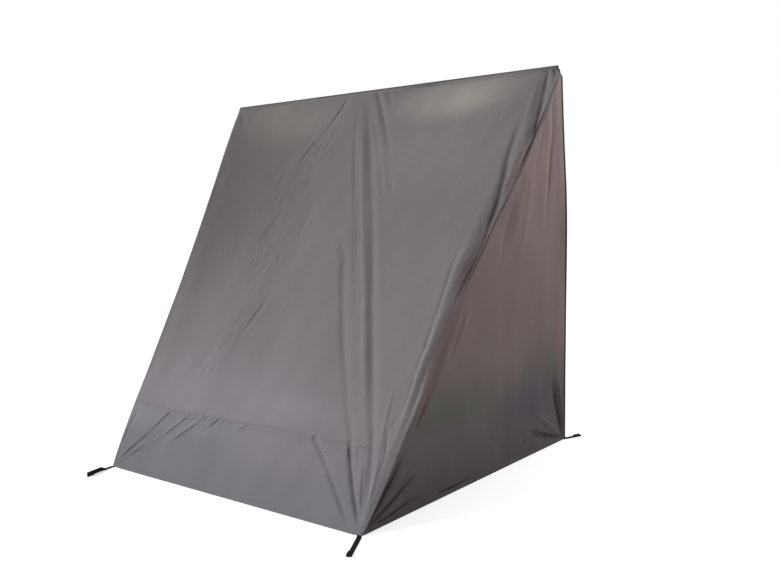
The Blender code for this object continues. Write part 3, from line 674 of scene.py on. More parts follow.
front_cloth = cloth_material("front_cloth", [
    (0.00, (0.232, 0.213, 0.232)),
    (0.30, (0.218, 0.200, 0.210)),
    (0.70, (0.194, 0.175, 0.180)),
    (1.00, (0.188, 0.170, 0.174)),
], SLOPE, [
    # Painted light and shade: the upper left darkened, the swags below the bead lighter, lighter
    # lilac patches low down, shade beside the right corner seam, and dark creases and bright ridges
    # along the folds
    (-1.02, 1.60, 1.00, 1.10, 0, (0.64, 0.64, 0.65)),
    (0.44, 2.13, 0.44, 0.18, 4, (1.50, 1.53, 1.42)),
    (0.68, 2.14, 0.34, 0.17, 14, (1.22, 1.22, 1.18)),
    (0.50, 1.80, 0.55, 0.36, 0, (1.10, 1.10, 1.11)),
    (-0.62, 2.10, 0.46, 0.24, -8, (1.32, 1.33, 1.20)),
    (-0.28, 0.42, 1.00, 0.30, 0, (1.18, 1.17, 1.24)),
    (0.25, 0.43, 0.24, 0.12, 0, (1.10, 1.09, 1.12)),
    painted_streak((0.86, 0.75), (1.03, 2.20), 0.075, (0.80, 0.75, 0.735)),
    painted_streak((0.81, 0.55), (0.91, 1.40), 0.040, (0.80, 0.74, 0.72)),
    painted_streak((0.916, 1.40), (0.845, 0.96), 0.024, (0.66, 0.59, 0.56)),
    painted_streak((0.840, 1.20), (0.765, 0.50), 0.014, (1.28, 1.25, 1.22)),
    painted_streak((0.850, 0.78), (0.966, 1.70), 0.013, (0.50, 0.42, 0.38)),
    painted_streak((0.925, 1.50), (0.955, 1.98), 0.022, (1.10, 1.02, 0.97)),
    painted_streak((0.818, 0.98), (0.876, 1.34), 0.012, (0.80, 0.68, 0.62)),
    painted_streak((0.882, 1.06), (0.806, 0.54), 0.021, (0.72, 0.62, 0.57)),
    painted_streak((0.826, 0.76), (0.800, 0.57), 0.008, (1.10, 0.94, 0.78)),
    painted_streak((0.948, 1.58), (1.012, 2.07), 0.010, (0.28, 0.23, 0.21)),
    painted_streak((0.998, 1.96), (1.045, 2.32), 0.006, (0.55, 0.48, 0.46)),
    painted_streak((0.966, 2.30), (0.974, 1.74), 0.009, (0.42, 0.38, 0.40)),
    painted_streak((1.003, 2.27), (1.008, 2.12), 0.007, (0.78, 0.73, 0.76)),
    painted_streak((0.890, 1.78), (0.894, 1.18), 0.012, (0.66, 0.58, 0.56)),
    painted_streak((-0.183, 2.26), (-0.302, 1.930), 0.006, (0.66, 0.62, 0.64)),
    painted_streak((-0.298, 1.965), (-0.382, 1.745), 0.005, (0.82, 0.79, 0.80)),
    painted_streak((-0.345, 1.475), (-0.430, 1.250), 0.005, (0.84, 0.81, 0.82)),
    painted_streak((-0.205, 0.96), (-0.290, 0.740), 0.006, (0.86, 0.83, 0.84)),
    painted_streak((-0.030, 1.92), (0.390, 0.800), 0.007, (0.78, 0.76, 0.78)),
    painted_streak((-0.02, 2.26), (0.22, 1.80), 0.010, (0.82, 0.78, 0.80)),
    painted_streak((0.12, 2.00), (0.34, 1.44), 0.008, (0.86, 0.84, 0.86)),
], [
    (-0.27, 1.85, 0.55, 0.17, 66, 0.0011),
    (-0.36, 1.25, 0.55, 0.18, 66, 0.0010),
    (-0.40, 0.74, 0.36, 0.16, 62, 0.0008),
    (0.75, 1.90, 0.22, 0.07, 60, 0.0020),
    (0.90, 1.30, 0.60, 0.05, 79, 0.0016),
])


# The lap beside a corner seam: reach past the seam, and lift off the side
LAP_ROWS = ((0.0012, 0.0010), (0.003, 0.0014), (0.006, 0.0014), (LAP, 0.0011))


def front_grid(rows, columns, off, lap_ends):
    """Places of a front sheet's points, with the laps at its two sides.

    off lifts each row. The laps close towards both lap_ends.
    """
    share, up = np.meshgrid(columns, rows)
    x = share * front_half(up)
    grid = front_point(x, up, np.repeat(off[:, None], len(columns), axis=1))
    cut = np.stack([x, up], axis=-1)
    height = rows * TOP_HEIGHT / SLOPE
    live = smooth((rows - lap_ends[0]) / 0.006) * smooth((lap_ends[1] - rows) / 0.02)
    for side in (-1, 1):
        strips = []
        marks = []
        corner = grid[:, 0 if side < 0 else -1]
        for reach, lift in LAP_ROWS:
            along = side_front(height) + reach * live
            lifted = side_point(side, along, np.minimum(height, CLIP_HEIGHT), lift + off)
            strips.append(corner + (lifted - corner) * live[:, None])
            marks.append(np.stack([side * (front_half(rows) + reach), rows], axis=-1))
        strips, marks = np.stack(strips, axis=1), np.stack(marks, axis=1)
        if side < 0:
            grid = np.concatenate([strips[:, ::-1], grid], axis=1)
            cut = np.concatenate([marks[:, ::-1], cut], axis=1)
        else:
            grid = np.concatenate([grid, strips], axis=1)
            cut = np.concatenate([cut, marks], axis=1)
    wander = (seam_up(cut[..., 0]) - SEAM_UP) * bump(cut[..., 1], SEAM_UP, 0.05)
    return grid + np.multiply.outer(wander, UP_SLOPE), cut


CLIP_UP = CLIP_HEIGHT * SLOPE / TOP_HEIGHT
SEAM_LAP = 0.004
FIRST_ROW = 0.0005  # keeps the shading of the lower edge in one narrow row
lowest = SEAM_UP - SEAM_LAP
rows = steps((lowest, lowest + FIRST_ROW, FIRST_ROW), (lowest + FIRST_ROW, 0.42, 0.006),
             (0.42, 2.10, 0.0135), (2.10, SLOPE, 0.007))
columns = steps((-1.0, -0.60, 0.0125), (-0.60, 0.50, 0.0060), (0.50, 0.80, 0.0125),
                (0.80, 1.0, 0.0037))
raised = 0.0003 * (1 - smooth((rows - SEAM_UP - 0.006) / 0.012))
upper = woven("front_upper_sheet", *front_grid(rows, columns, raised, (0.0, CLIP_UP - 0.004)))
link(upper, "canopy", "front_cloth", front_cloth, "front_upper_panel")


# Front sheet, lower band
# A strip of the same cloth in a cooler grey, sewn under the upper panel's
# edge. It takes the pull of both front pegs, so folds fan out of its corners.
BAND_BOTTOM = 0.0038
band_cloth = cloth_material("band_cloth", [
    (0.00, (0.194, 0.191, 0.206)),
    (0.55, (0.204, 0.199, 0.216)),
    (1.00, (0.218, 0.208, 0.226)),
], SEAM_UP, [
    # Painted light and shade: lighter patches, and the bright ridges and dark creases of the corner
    # fans
    (-0.75, 0.20, 0.70, 0.34, 0, (1.00, 1.030, 1.03)),
    (-0.70, 0.28, 0.26, 0.10, 0, (1.18, 1.17, 1.19)),
    (-0.28, 0.29, 0.34, 0.09, 0, (1.12, 1.12, 1.14)),
    (0.16, 0.24, 0.45, 0.17, 0, (1.14, 1.09, 1.12)),
    (0.62, 0.30, 0.60, 0.26, 0, (1.02, 0.97, 0.995)),
    painted_streak((-0.375, 0.335), (-0.540, 0.170), 0.012, (1.22, 1.20, 1.18)),
    painted_streak((-0.280, 0.340), (-0.430, 0.185), 0.010, (1.24, 1.22, 1.20)),
    painted_streak((-0.510, 0.335), (-0.740, 0.030), 0.006, (0.72, 0.72, 0.74)),
    painted_streak((-0.570, 0.160), (-0.740, 0.005), 0.006, (0.68, 0.68, 0.70)),
    painted_streak((-0.180, 0.340), (-0.250, 0.255), 0.006, (0.74, 0.74, 0.76)),
    painted_streak((0.535, 0.345), (0.580, 0.255), 0.008, (0.60, 0.54, 0.50)),
    painted_streak((0.540, 0.330), (0.712, 0.020), 0.006, (0.72, 0.66, 0.64)),
    painted_streak((0.370, 0.330), (0.690, 0.010), 0.005, (0.80, 0.78, 0.78)),
    painted_streak((0.640, 0.300), (0.722, 0.020), 0.006, (0.78, 0.74, 0.72)),
    painted_streak((0.745, 0.330), (0.738, 0.020), 0.006, (0.66, 0.60, 0.58)),
    painted_streak((0.672, 0.300), (0.724, 0.020), 0.004, (1.22, 1.16, 1.10)),
    painted_streak((0.718, 0.330), (0.733, 0.040), 0.004, (0.80, 0.75, 0.72)),
    painted_streak((0.700, 0.330), (0.730, 0.020), 0.008, (1.22, 1.20, 1.18)),
], [
    (-0.40, 0.300, 0.36, 0.060, 4, 0.0022),
    (0.50, 0.300, 0.25, 0.04, -4, 0.0014),
])
rows = steps((BAND_BOTTOM, SEAM_UP + 0.008, 0.0056))
sunk = np.full(rows.shape, -0.0003)
band = woven("front_lower_sheet", *front_grid(rows, np.linspace(-1, 1, 301), sunk,
                                              (-1.0, SEAM_UP - SEAM_LAP - 0.002)))
link(band, "canopy", "band_cloth", band_cloth, "front_lower_band")


# Cross seam
# The band is lapped under the upper panel and sewn through with two rows of
# stitches. A woven tape inside covers the raw edges.
TAPE = 0.0006
TAPE_OFFS = np.array([-0.0070, -0.0035, 0.0, 0.0035, 0.0070])  # across the tape
RIB_RELIEF = 0.0004
STITCH_ROWS = (-0.0022, 0.0030)


def two_tone(tree, factor, low, high):
    """A colour between two, by a factor."""
    colours = node(tree, "ShaderNodeValToRGB", {"Fac": factor})
    for element, colour in zip(colours.color_ramp.elements, (low, high)):
        element.color = (*colour, 1.0)
    return colours.outputs["Color"]


def tape_material(name, colour, roughness, rib=0.0016, depth=0.3):
    """Narrow woven tape or webbing with ribs across its run."""
    material, tree, shader, place = surface(name, 0.13)
    cut = node(tree, "ShaderNodeUVMap", uv_map="cut").outputs["UV"]
    ribs = stripes(tree, cut, "Y", 2 * math.pi / rib / 20, 0.8)
    dust = noise(tree, place, 60.0, 4.0)
    mixed = maths(tree, "MULTIPLY_ADD", ribs, 0.45, maths(tree, "MULTIPLY", dust, 0.6))
    tone = two_tone(tree, mixed, [0.8 * c for c in colour], [1.25 * c for c in colour])
    dress(tree, shader, tone, relief(tree, ribs, depth, RIB_RELIEF), dust,
          roughness - 0.08, roughness + 0.10)
    return material


def unit(arrows):
    return arrows / np.linalg.norm(arrows, axis=1)[:, None]


def run_along(line):
    """How far each point lies along a line."""
    return np.concatenate([[0], np.cumsum(np.linalg.norm(np.diff(line, axis=0), axis=1))])


def stitches(name, rows, slot, material, body="canopy", pitch=0.0038, length=0.0026, wide=0.0003):
    """Rows of thread. Each row has its points and the way out of the cloth."""
    points = []
    for line, out in rows:
        out = np.broadcast_to(np.asarray(out, float), line.shape)
        run = run_along(line)
        at = np.arange(pitch / 2, run[-1] - length / 2, pitch)

        def on(values, where):
            return np.stack([np.interp(where, run, values[:, k]) for k in range(3)], axis=-1)
        middle, normal = on(line, at), on(out, at)
        ahead = unit(on(line, at + length / 2) - on(line, at - length / 2))
        beside = np.cross(normal, ahead)
        points.append(np.stack([
            middle - ahead * length / 2, middle + ahead * length / 2,
            middle + beside * wide, middle - beside * wide,
            middle + normal * 0.0003, middle - normal * 0.0002,
        ], axis=1))
    points = np.concatenate(points)
    one = np.array([(1, 2, 4), (2, 0, 4), (0, 3, 4), (3, 1, 4), (2, 1, 5), (0, 2, 5), (3, 0, 5),
                    (1, 3, 5)])
    faces = (one[None] + 6 * np.arange(len(points))[:, None, None]).reshape(-1, 3).tolist()
    flat = points.reshape(-1, 3)
    return link(new_piece(name, flat, faces, flat[:, :2]), body, slot, material)


seam_tape = tape_material("seam_tape", (0.155, 0.150, 0.155), 0.7)
thread = tape_material("thread", (0.235, 0.220, 0.230), 0.75, rib=0.0008)
across, off = np.meshgrid(np.linspace(-1, 1, 240), TAPE_OFFS, indexing="ij")
x = across * (front_half(SEAM_UP) - 0.010)
tape = woven("cross_seam_tape_inside", front_point(x, seam_up(x) + off, -0.0016),
             np.stack([off, x], axis=-1), flip=True, thickness=TAPE, outward=0)
link(tape, "canopy", "seam_tape", seam_tape, "cross_seam_tape")
x = np.linspace(-0.775, 0.775, 900)
rows = [(front_point(x, seam_up(x) + step, 0.0009), FRONT_OUT) for step in STITCH_ROWS]
cross_stitches = stitches("cross_seam_stitches", rows, "seam_tape", thread)


# Keder
# A round plastic bead in the fold of a smooth tape that is sewn over the
# sheet's top edge. The whole canopy hangs by this bead.
CORE_RADIUS = 0.0035
CORE_UP = SLOPE + CORE_RADIUS + 0.0006
FOLD_RADIUS = 0.0042
KEDER_LEG = 0.018
LEG_OVER, LEG_UNDER = 0.0003, -0.0014
FOLD_STARTS, FOLD_ENDS = 0.167, 2 * math.pi - 0.339  # angles round the bead

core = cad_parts["keder_core"]
bead, tree, shader, place = surface("keder_bead", 0.5)
scuff = noise(tree, place, 180.0, 5.0)
dress(tree, shader, two_tone(tree, scuff, (0.55, 0.54, 0.50), (0.72, 0.72, 0.69)),
      relief(tree, scuff, 0.2, 0.0001), scuff, 0.30, 0.50)
for index in range(len(core.data.materials)):
    core.data.materials[index] = bead

leg = SLOPE - KEDER_LEG
section = [(leg + rise, LEG_OVER) for rise in (0.0, 0.0004, 0.0048, 0.0092, 0.0136)]
for angle in np.linspace(FOLD_STARTS, FOLD_ENDS, 29):
    section.append((CORE_UP - FOLD_RADIUS * math.cos(angle), FOLD_RADIUS * math.sin(angle)))
section += [(leg + rise, LEG_UNDER) for rise in (0.0135, 0.0090, 0.0045, 0.0)]
section = np.array(section)
x = np.linspace(-1, 1, 260) * (TOP_HALF - 0.0005)
x, up = np.meshgrid(x, section[:, 0], indexing="ij")
run = np.broadcast_to(run_along(section), x.shape)
# The tape is dark where it wraps the bead, painted shade along the top edge. Its patches paint
# light below the swags, shade at both ends and a shadow in a gap
keder_cloth = cloth_material("keder_tape", [
    (0.00, (0.198, 0.182, 0.184)),
    (0.32, (0.190, 0.176, 0.178)),
    (0.42, (0.060, 0.054, 0.055)),
    (1.00, (0.060, 0.054, 0.055)),
], 0.06, [
    (0.50, 0.006, 0.46, 0.024, 0, (1.12, 1.13, 1.08)),
    (-0.98, 0.006, 0.50, 0.024, 0, (0.76, 0.76, 0.77)),
    (1.02, 0.006, 0.24, 0.024, 0, (0.80, 0.76, 0.78)),
    painted_streak((0.15, 0.009), (0.46, 0.009), 0.006, (0.45, 0.42, 0.44)),
], roughness=0.5)
keder = woven("keder_tape_folded", front_point(x, up, section[:, 1]),
              np.stack([x, run], axis=-1), flip=True, thickness=0.0004, outward=0)
link(keder, "canopy", "seam_tape", keder_cloth, "keder_tape")
x = np.linspace(-TOP_HALF + 0.004, TOP_HALF - 0.004, 900)
rows = [(front_point(x, SLOPE - step, 0.0006), FRONT_OUT) for step in (0.0155, 0.0030)]
keder_stitches = stitches("keder_stitches", rows, "seam_tape", thread)


# Side panels
# Two upright triangles that close the ends of the canopy, sewn to the front along the
# corner lines. They are the same cloth, painted darker and warmer than the front: painted
# shade, as they face away from the light, and painted light through the cloth.
SIDE_BOTTOM = 0.0030
SIDE_END = SIDE_LENGTH - 0.0012
SEAM_SETBACK = 0.0008
# Darker towards the ground and warmer higher up: painted shade, and painted light through the cloth
side_cloth = cloth_material("side_cloth", [
    (0.00, (0.088, 0.072, 0.079)),
    (0.14, (0.102, 0.087, 0.095)),
    (0.215, (0.114, 0.103, 0.099)),
    (0.325, (0.170, 0.134, 0.128)),
    (0.80, (0.205, 0.153, 0.149)),
    (1.00, (0.196, 0.152, 0.149)),
], CLIP_HEIGHT, [
    # Painted light and shade: shade at the front ground corner and in the rear fan, a painted
    # shadow along the hem, and dark creases and bright ridges of the folds. One greenish patch
    # tints the cloth's own colour
    (0.0, 0.0, 0.60, 0.45, 0, (0.84, 0.82, 0.86)),
    (0.50, 0.37, 0.45, 0.13, -6, (0.96, 1.02, 0.94)),
    (1.10, 0.26, 0.40, 0.14, -4, (0.87, 0.84, 0.95)),
    painted_streak((0.58, 0.765), (1.36, 1.80), 0.006, (0.42, 0.35, 0.32)),
    painted_streak((1.284, 1.76), (1.266, 1.46), 0.008, (0.62, 0.54, 0.52)),
    painted_streak((1.268, 1.50), (1.218, 1.10), 0.010, (0.74, 0.66, 0.64)),
    painted_streak((1.325, 1.74), (1.318, 1.42), 0.012, (1.05, 1.02, 1.00)),
    (1.33, 1.50, 0.10, 0.22, 0, (0.88, 0.87, 0.87)),
    painted_streak((1.23, 1.62), (1.16, 1.10), 0.030, (1.16, 1.12, 1.07)),
    painted_streak((1.045, 1.36), (0.880, 0.92), 0.022, (0.74, 0.65, 0.69)),
    painted_streak((1.10, 1.45), (0.98, 0.90), 0.035, (1.12, 1.10, 1.05)),
    painted_streak((0.70, 0.79), (0.555, 0.55), 0.010, (1.38, 1.28, 1.26)),
    painted_streak((0.70, 0.90), (0.33, 0.32), 0.040, (0.80, 0.74, 0.74)),
    painted_streak((0.46, 0.54), (0.33, 0.34), 0.028, (1.06, 0.88, 0.92)),
    painted_streak((0.42, 0.47), (0.29, 0.29), 0.009, (0.64, 0.53, 0.53)),
    painted_streak((0.29, 0.29), (0.0, 0.0), 0.011, (0.34, 0.32, 0.33)),
    painted_streak((0.34, 0.165), (0.0, 0.005), 0.008, (0.30, 0.28, 0.30)),
    painted_streak((0.33, 0.054), (0.02, 0.012), 0.007, (0.34, 0.32, 0.34)),
    painted_streak((0.30, 0.225), (0.04, 0.035), 0.010, (1.35, 1.33, 1.33)),
    painted_streak((0.32, 0.105), (0.06, 0.022), 0.008, (1.30, 1.28, 1.28)),
    painted_streak((0.68, 0.028), (0.36, 0.022), 0.006, (0.14, 0.13, 0.14)),
    painted_streak((1.258, 0.38), (1.366, -0.05), 0.052, (0.62, 0.58, 0.60)),
    painted_streak((1.272, 0.29), (1.355, -0.02), 0.014, (0.72, 0.70, 0.72)),
    painted_streak((1.00, 0.13), (1.37, 0.0), 0.024, (0.52, 0.49, 0.51)),
    painted_streak((1.298, 0.74), (1.322, 0.20), 0.020, (1.22, 1.02, 1.00)),
    (0.45, 0.20, 0.42, 0.16, 0, (1.10, 1.09, 1.10)),
], [
    (1.20, 1.40, 0.35, 0.10, 78, 0.0012),
    (0.25, 0.12, 0.35, 0.12, 28, 0.0008),
    (1.20, 0.14, 0.22, 0.14, 150, 0.0005),
])
SIDES = (("left", -1), ("right", 1))
going_with = {}
for word, side in SIDES:
    rows = steps((SIDE_BOTTOM, 0.30, 0.007), (0.30, 1.70, 0.0125),
                 (1.70, CUT_HEIGHT - 0.0015, 0.007))
    share = np.linspace(0, 1, 161)
    share = share - 0.10 * np.sin(share * 2 * math.pi) / (2 * math.pi)
    begin = side_front(rows)[:, None] + SEAM_SETBACK
    along = begin + (SIDE_END - begin) * share[None, :]
    up = np.repeat(rows[:, None], len(share), axis=1)
    sheet = woven("side_sheet_" + word, side_point(side, along, up),
                  np.stack([along, up], axis=-1), flip=side < 0)
    link(sheet, "canopy", "side_cloth", side_cloth, "side_panel_" + word)


# Corner seams
# Where front and side meet, the front's edge is turned over the side and
# sewn down with two rows. A tape folded along the inside covers the edges.
TAPE_REACHES = (0.003, 0.0055, 0.008)  # from the corner line, on both panels
UNDER_FRONT, UNDER_SIDE = -0.0015, -0.0012


def strip_marks(run, across):
    """Places on a strip's flat cloth, along it and across it."""
    return np.stack(np.meshgrid(run, across, indexing="ij"), axis=-1)


for word, side in SIDES:
    up = steps((0.0095, CLIP_UP - 0.006, 0.011))
    height = up * TOP_HEIGHT / SLOPE
    section = [front_point(side * (front_half(up) - reach), up, UNDER_FRONT)
               for reach in TAPE_REACHES[::-1]]
    section.append((front_point(side * (front_half(up) - 0.0022), up, -0.0017)
                    + side_point(side, side_front(height) + 0.0022, height, -0.0015)) / 2)
    section += [side_point(side, side_front(height) + reach, height, UNDER_SIDE)
                for reach in TAPE_REACHES]
    tape = woven("corner_tape_" + word, np.stack(section, axis=1),
                 strip_marks(up, np.linspace(0, 0.016, 7))[..., ::-1],
                 flip=side < 0, thickness=0.0004, outward=0)
    link(tape, "canopy", "seam_tape", seam_tape, "corner_seam_" + word)

    up = np.linspace(0.012, CLIP_UP - 0.03, 1300)
    height = up * TOP_HEIGHT / SLOPE
    out = side_frame(side)[1]
    rows = [(side_point(side, side_front(height) + reach, height, 0.0014), out)
            for reach in (0.0030, 0.0068)]
    rows.append((front_point(side * (front_half(up) - 0.011), up, 0.0003), FRONT_OUT))
    sewn = stitches("corner_stitches_" + word, rows, "seam_tape", thread,
                    pitch=0.0062, length=0.0044, wide=0.0006)
    going_with[word] = [tape, sewn]


# Edge bindings
# Dark tape folded over the upright edge at the rear of each side, and on over
# the cut-off corner below the right end of the bead.
BINDING = 0.012
BINDING_OVER, BINDING_UNDER = 0.0008, -0.0014
BINDING_LEG = [BINDING, BINDING - 0.0004, 0.0100, 0.0080, 0.0060, 0.0045, 0.0030, 0.0018, 0.0008]
BINDING_FOLD = [(0.0003, 0.0002), (0.0001, -0.0004), (0.0003, -0.0010)]
# The cut corner: where it starts, which way it goes, and the way in from its edge
CUT_STARTS = np.array((TOP_HALF, REAR, CLIP_HEIGHT))
CUT_WAY = np.array((-0.024, 0.0, 0.050))
CUT_INWARD = np.array((-0.9, -0.15, -0.4))
edge_binding = tape_material("edge_binding", (0.032, 0.030, 0.030), 0.75, rib=0.0013)
dark_thread = tape_material("dark_thread", (0.030, 0.028, 0.028), 0.7, rib=0.0008)
for word, side in SIDES:
    height = steps((0.0045, CLIP_HEIGHT, 0.012))
    turns = np.linspace(0.0, 1.0, 9)[1:]
    hem_way, out, _ = side_frame(side)
    turned = smooth(turns / 0.8)
    facing = out + np.multiply.outer(turned, FRONT_OUT - out)
    inner = -hem_way + np.multiply.outer(turned, hem_way + CUT_INWARD)
    corner = CUT_STARTS + np.multiply.outer(turns, CUT_WAY)
    section = []
    for reach, off in ([(r, BINDING_OVER) for r in BINDING_LEG] + BINDING_FOLD
                       + [(r, BINDING_UNDER) for r in BINDING_LEG[::-1]]):
        edge = side_point(side, SIDE_LENGTH - reach, height, off)
        if side > 0:
            lifted = off + np.sign(off) * 0.0012 * smooth(turns * 4)
            over_cut = corner + inner * min(reach * 0.4, 0.0040) + facing * lifted[:, None]
            edge = np.concatenate([edge, over_cut])
        section.append(edge)
    grid = np.stack(section, axis=1)
    marks = strip_marks(np.arange(len(grid)) * 0.012, np.linspace(0, 0.026, len(section)))
    binding = woven("wall_binding_" + word, grid, marks[..., ::-1], flip=side < 0,
                    thickness=TAPE, outward=0)
    link(binding, "canopy", "edge_binding", edge_binding, "wall_edge_binding_" + word)

    height = np.linspace(0.010, CLIP_HEIGHT - 0.006, 1000)
    rows = [(side_point(side, SIDE_LENGTH - 0.0095, height, 0.0011), out)]
    sewn = stitches("binding_stitches_" + word, rows, "edge_binding", dark_thread)
    going_with[word] = [binding, sewn] + going_with[word]


# Hems
# The lower edges are turned up over a tape and sewn down with one row. Near
# the corners they lift a little to let the webbing out beneath them.
HEM = 0.0185
HEM_INSIDE = 0.018  # how far the strip reaches up the inside
HEM_SHUT = 0.0145  # how much shorter it is there beside the webbing
HEM_STITCH = 0.0162
HEM_OVER = 0.0006
HEM_FOOT, HEM_LIFT = 0.0011, 0.0027  # its height off the ground, and more at the corners
WEB = 0.0024
TAIL_FAR = 0.0028
TAIL_NEAR = 0.0228
LIFT_STARTS, LIFT_FADE = TAIL_NEAR + 0.013, 0.011


def hem(name, place, run, under, lifted, shut, slot, material, node_name, flip):
    """A folded strip along a lower edge. place gives points on the sheet."""
    foot = HEM_FOOT + HEM_LIFT * lifted
    inner = HEM_INSIDE - HEM_SHUT * shut
    wave = 0.00025 * np.sin(run * 40.0) + 0.0002 * np.sin(run * 97.0 + 1.0)
    section = [(np.maximum(up, foot), HEM_OVER + wave * 0.6)
               for up in (HEM, HEM - 0.0004, 0.014, 0.010, 0.006)]
    section += [(foot + 0.0006, HEM_OVER), (foot, 0.0002), (foot, under + 0.0004)]
    section += [(foot + 0.0006 + (inner - 0.0030) * part, under) for part in (0.0, 0.3, 0.65, 1.0)]
    grid = np.stack([place(run, up, off) for up, off in section], axis=1)
    piece = woven(name, grid, strip_marks(run, np.linspace(0, 0.04, len(section))), flip=flip,
                  thickness=0.0005, outward=0)
    return link(piece, "canopy", slot, material, node_name)


reach = FRONT_HALF - 0.0012
run = np.linspace(-reach, reach, 420)
near = smooth((np.abs(run) - FRONT_HALF + LIFT_STARTS) / LIFT_FADE)
front_hem = hem("front_hem_rolled", front_point, run, -0.0017, near, near, "band_cloth",
                band_cloth, "front_hem", True)
run = np.linspace(-reach + 0.002, reach - 0.002, 900)
rows = [(front_point(run, HEM_STITCH, 0.0008), FRONT_OUT)]
hem_stitches = stitches("front_hem_stitches", rows, "band_cloth", thread)
for word, side in SIDES:
    run = np.linspace(side_front(HEM) + 0.0004, SIDE_LENGTH - 0.0125, 380)
    near = smooth((run - SIDE_LENGTH + LIFT_STARTS) / LIFT_FADE)
    shut = np.maximum(near, 1 - smooth((run - side_front(HEM) - 0.012) / 0.010))
    piece = hem("side_hem_rolled_" + word, lambda run, up, off: side_point(side, run, up, off),
                run, -0.0013, near, shut, "side_cloth", side_cloth, "side_hem_" + word, side > 0)
    run = np.linspace(0.020, SIDE_LENGTH - 0.014, 900)
    rows = [(side_point(side, run, HEM_STITCH, 0.0008), side_frame(side)[1])]
    sewn = stitches("side_hem_stitches_" + word, rows, "side_cloth", thread)
    going_with[word] = [piece, sewn] + going_with[word]


# Corner patches
# Triangles of doubled cloth inside the four ground corners, which spread the
# pull of the webbing into the sheets.
PATCH = 0.060
PATCH_LOW = HEM + 0.0035


def patch(name, place, corners, slot, material, node_name, flip):
    """A triangle of cloth on the inside of a sheet, with softened corners."""
    count = 12
    spots, numbers = [], {}
    centre = corners.mean(0)
    for i in range(count + 1):
        for j in range(count + 1 - i):
            a, b = i / count, j / count
            arm = corners[0] * (1 - a - b) + corners[1] * a + corners[2] * b - centre
            numbers[i, j] = len(spots)
            spots.append(centre + arm * (1 - 0.10 * max(0, np.linalg.norm(arm) / 0.03 - 0.9)))
    faces = []
    for i in range(count):
        for j in range(count - i):
            faces.append((numbers[i, j], numbers[i + 1, j], numbers[i, j + 1]))
            if j < count - i - 1:
                faces.append((numbers[i + 1, j], numbers[i + 1, j + 1], numbers[i, j + 1]))
    piece = new_piece(name, [place(spot) for spot in spots], faces, spots, flip)
    return link(thicken(piece, TAPE, 0), "canopy", slot, material, node_name)


for word, side in SIDES:
    edge = front_half(PATCH_LOW) - 0.0095
    corners = np.array([(edge, PATCH_LOW), (edge + PATCH * INSET / SLOPE, PATCH_LOW + PATCH),
                        (edge - PATCH, PATCH_LOW)])
    patch(
        "front_patch_" + word, lambda spot: front_point(side * spot[0], spot[1], -0.0016), corners,
        "band_cloth", band_cloth, "corner_patch_front_" + word, side > 0)
    edge = SIDE_LENGTH - BINDING - 0.0015
    corners = np.array([(edge, PATCH_LOW), (edge, PATCH_LOW + PATCH), (edge - PATCH, PATCH_LOW)])
    going_with[word].append(patch(
        "rear_patch_" + word, lambda spot: side_point(side, spot[0], spot[1], -0.0012), corners,
        "side_cloth", side_cloth, "corner_patch_rear_" + word, side > 0))
for word, side in SIDES:
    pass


# Peg loops
# Black webbing, 20 mm wide, doubled over and sewn, with its end left open as
# an eye for a peg. The sewn tail runs up the inside of each ground corner.
WEB_HALF = 0.010
EYE_LENGTH = 0.044
EYE_HEIGHT = 0.0070
LOOPS = {  # side, free length, angle out, twist, middle of the fold line
    "front_left": (-1, 0.135, 0, 90, (-0.736, -0.638475)),
    "front_right": (1, 0.145, 21, 0, (0.736, -0.642058)),
    "rear_left": (-1, 0.080, 35, 0, (-1.041023, 0.709743)),
    "rear_right": (1, 0.080, 35, 0, (1.041023, 0.709743)),
}
FRONT_TAIL = (0.034, 0.026, 0.018, 0.010, 0.0065, 0.0042)  # up the front sheet
REAR_TAIL = (0.034, 0.026, 0.018, 0.010, 0.004, 0.0014)  # up a side panel
TAIL_DEEP, TAIL_SEWN = -0.0035, -0.0048  # off the panel: the tail, and its thread
BOX_LOW, BOX_HIGH = 0.010, 0.030  # the sewn box with its cross
webbing = tape_material("webbing", (0.0060, 0.0060, 0.0062), 0.62, rib=0.0021, depth=0.6)
black_thread = tape_material("black_thread", (0.012, 0.012, 0.012), 0.6, rib=0.0008)
FACE = (0.14, 0.32, 0.5, 0.68, 0.86)
TOP_FACE, LOW_FACE = [(u, 0.5) for u in FACE], [(u, -0.5) for u in FACE[::-1]]
ONE_LAYER = ([(0.02, -0.5), (0.004, -0.32), (0.0, 0.0), (0.004, 0.32), (0.02, 0.5)] + TOP_FACE
             + [(0.98, 0.5), (0.996, 0.32), (1.0, 0.0), (0.996, -0.32), (0.98, -0.5)] + LOW_FACE)
TWO_LAYERS = (
    [(0.02, -0.5), (0.0, -0.26), (0.013, -0.03), (0.013, 0.03), (0.0, 0.26), (0.02, 0.5)] + TOP_FACE
    + [(0.98, 0.5), (1.0, 0.26), (0.987, 0.03), (0.987, -0.03), (1.0, -0.26), (0.98, -0.5)]
    + LOW_FACE)


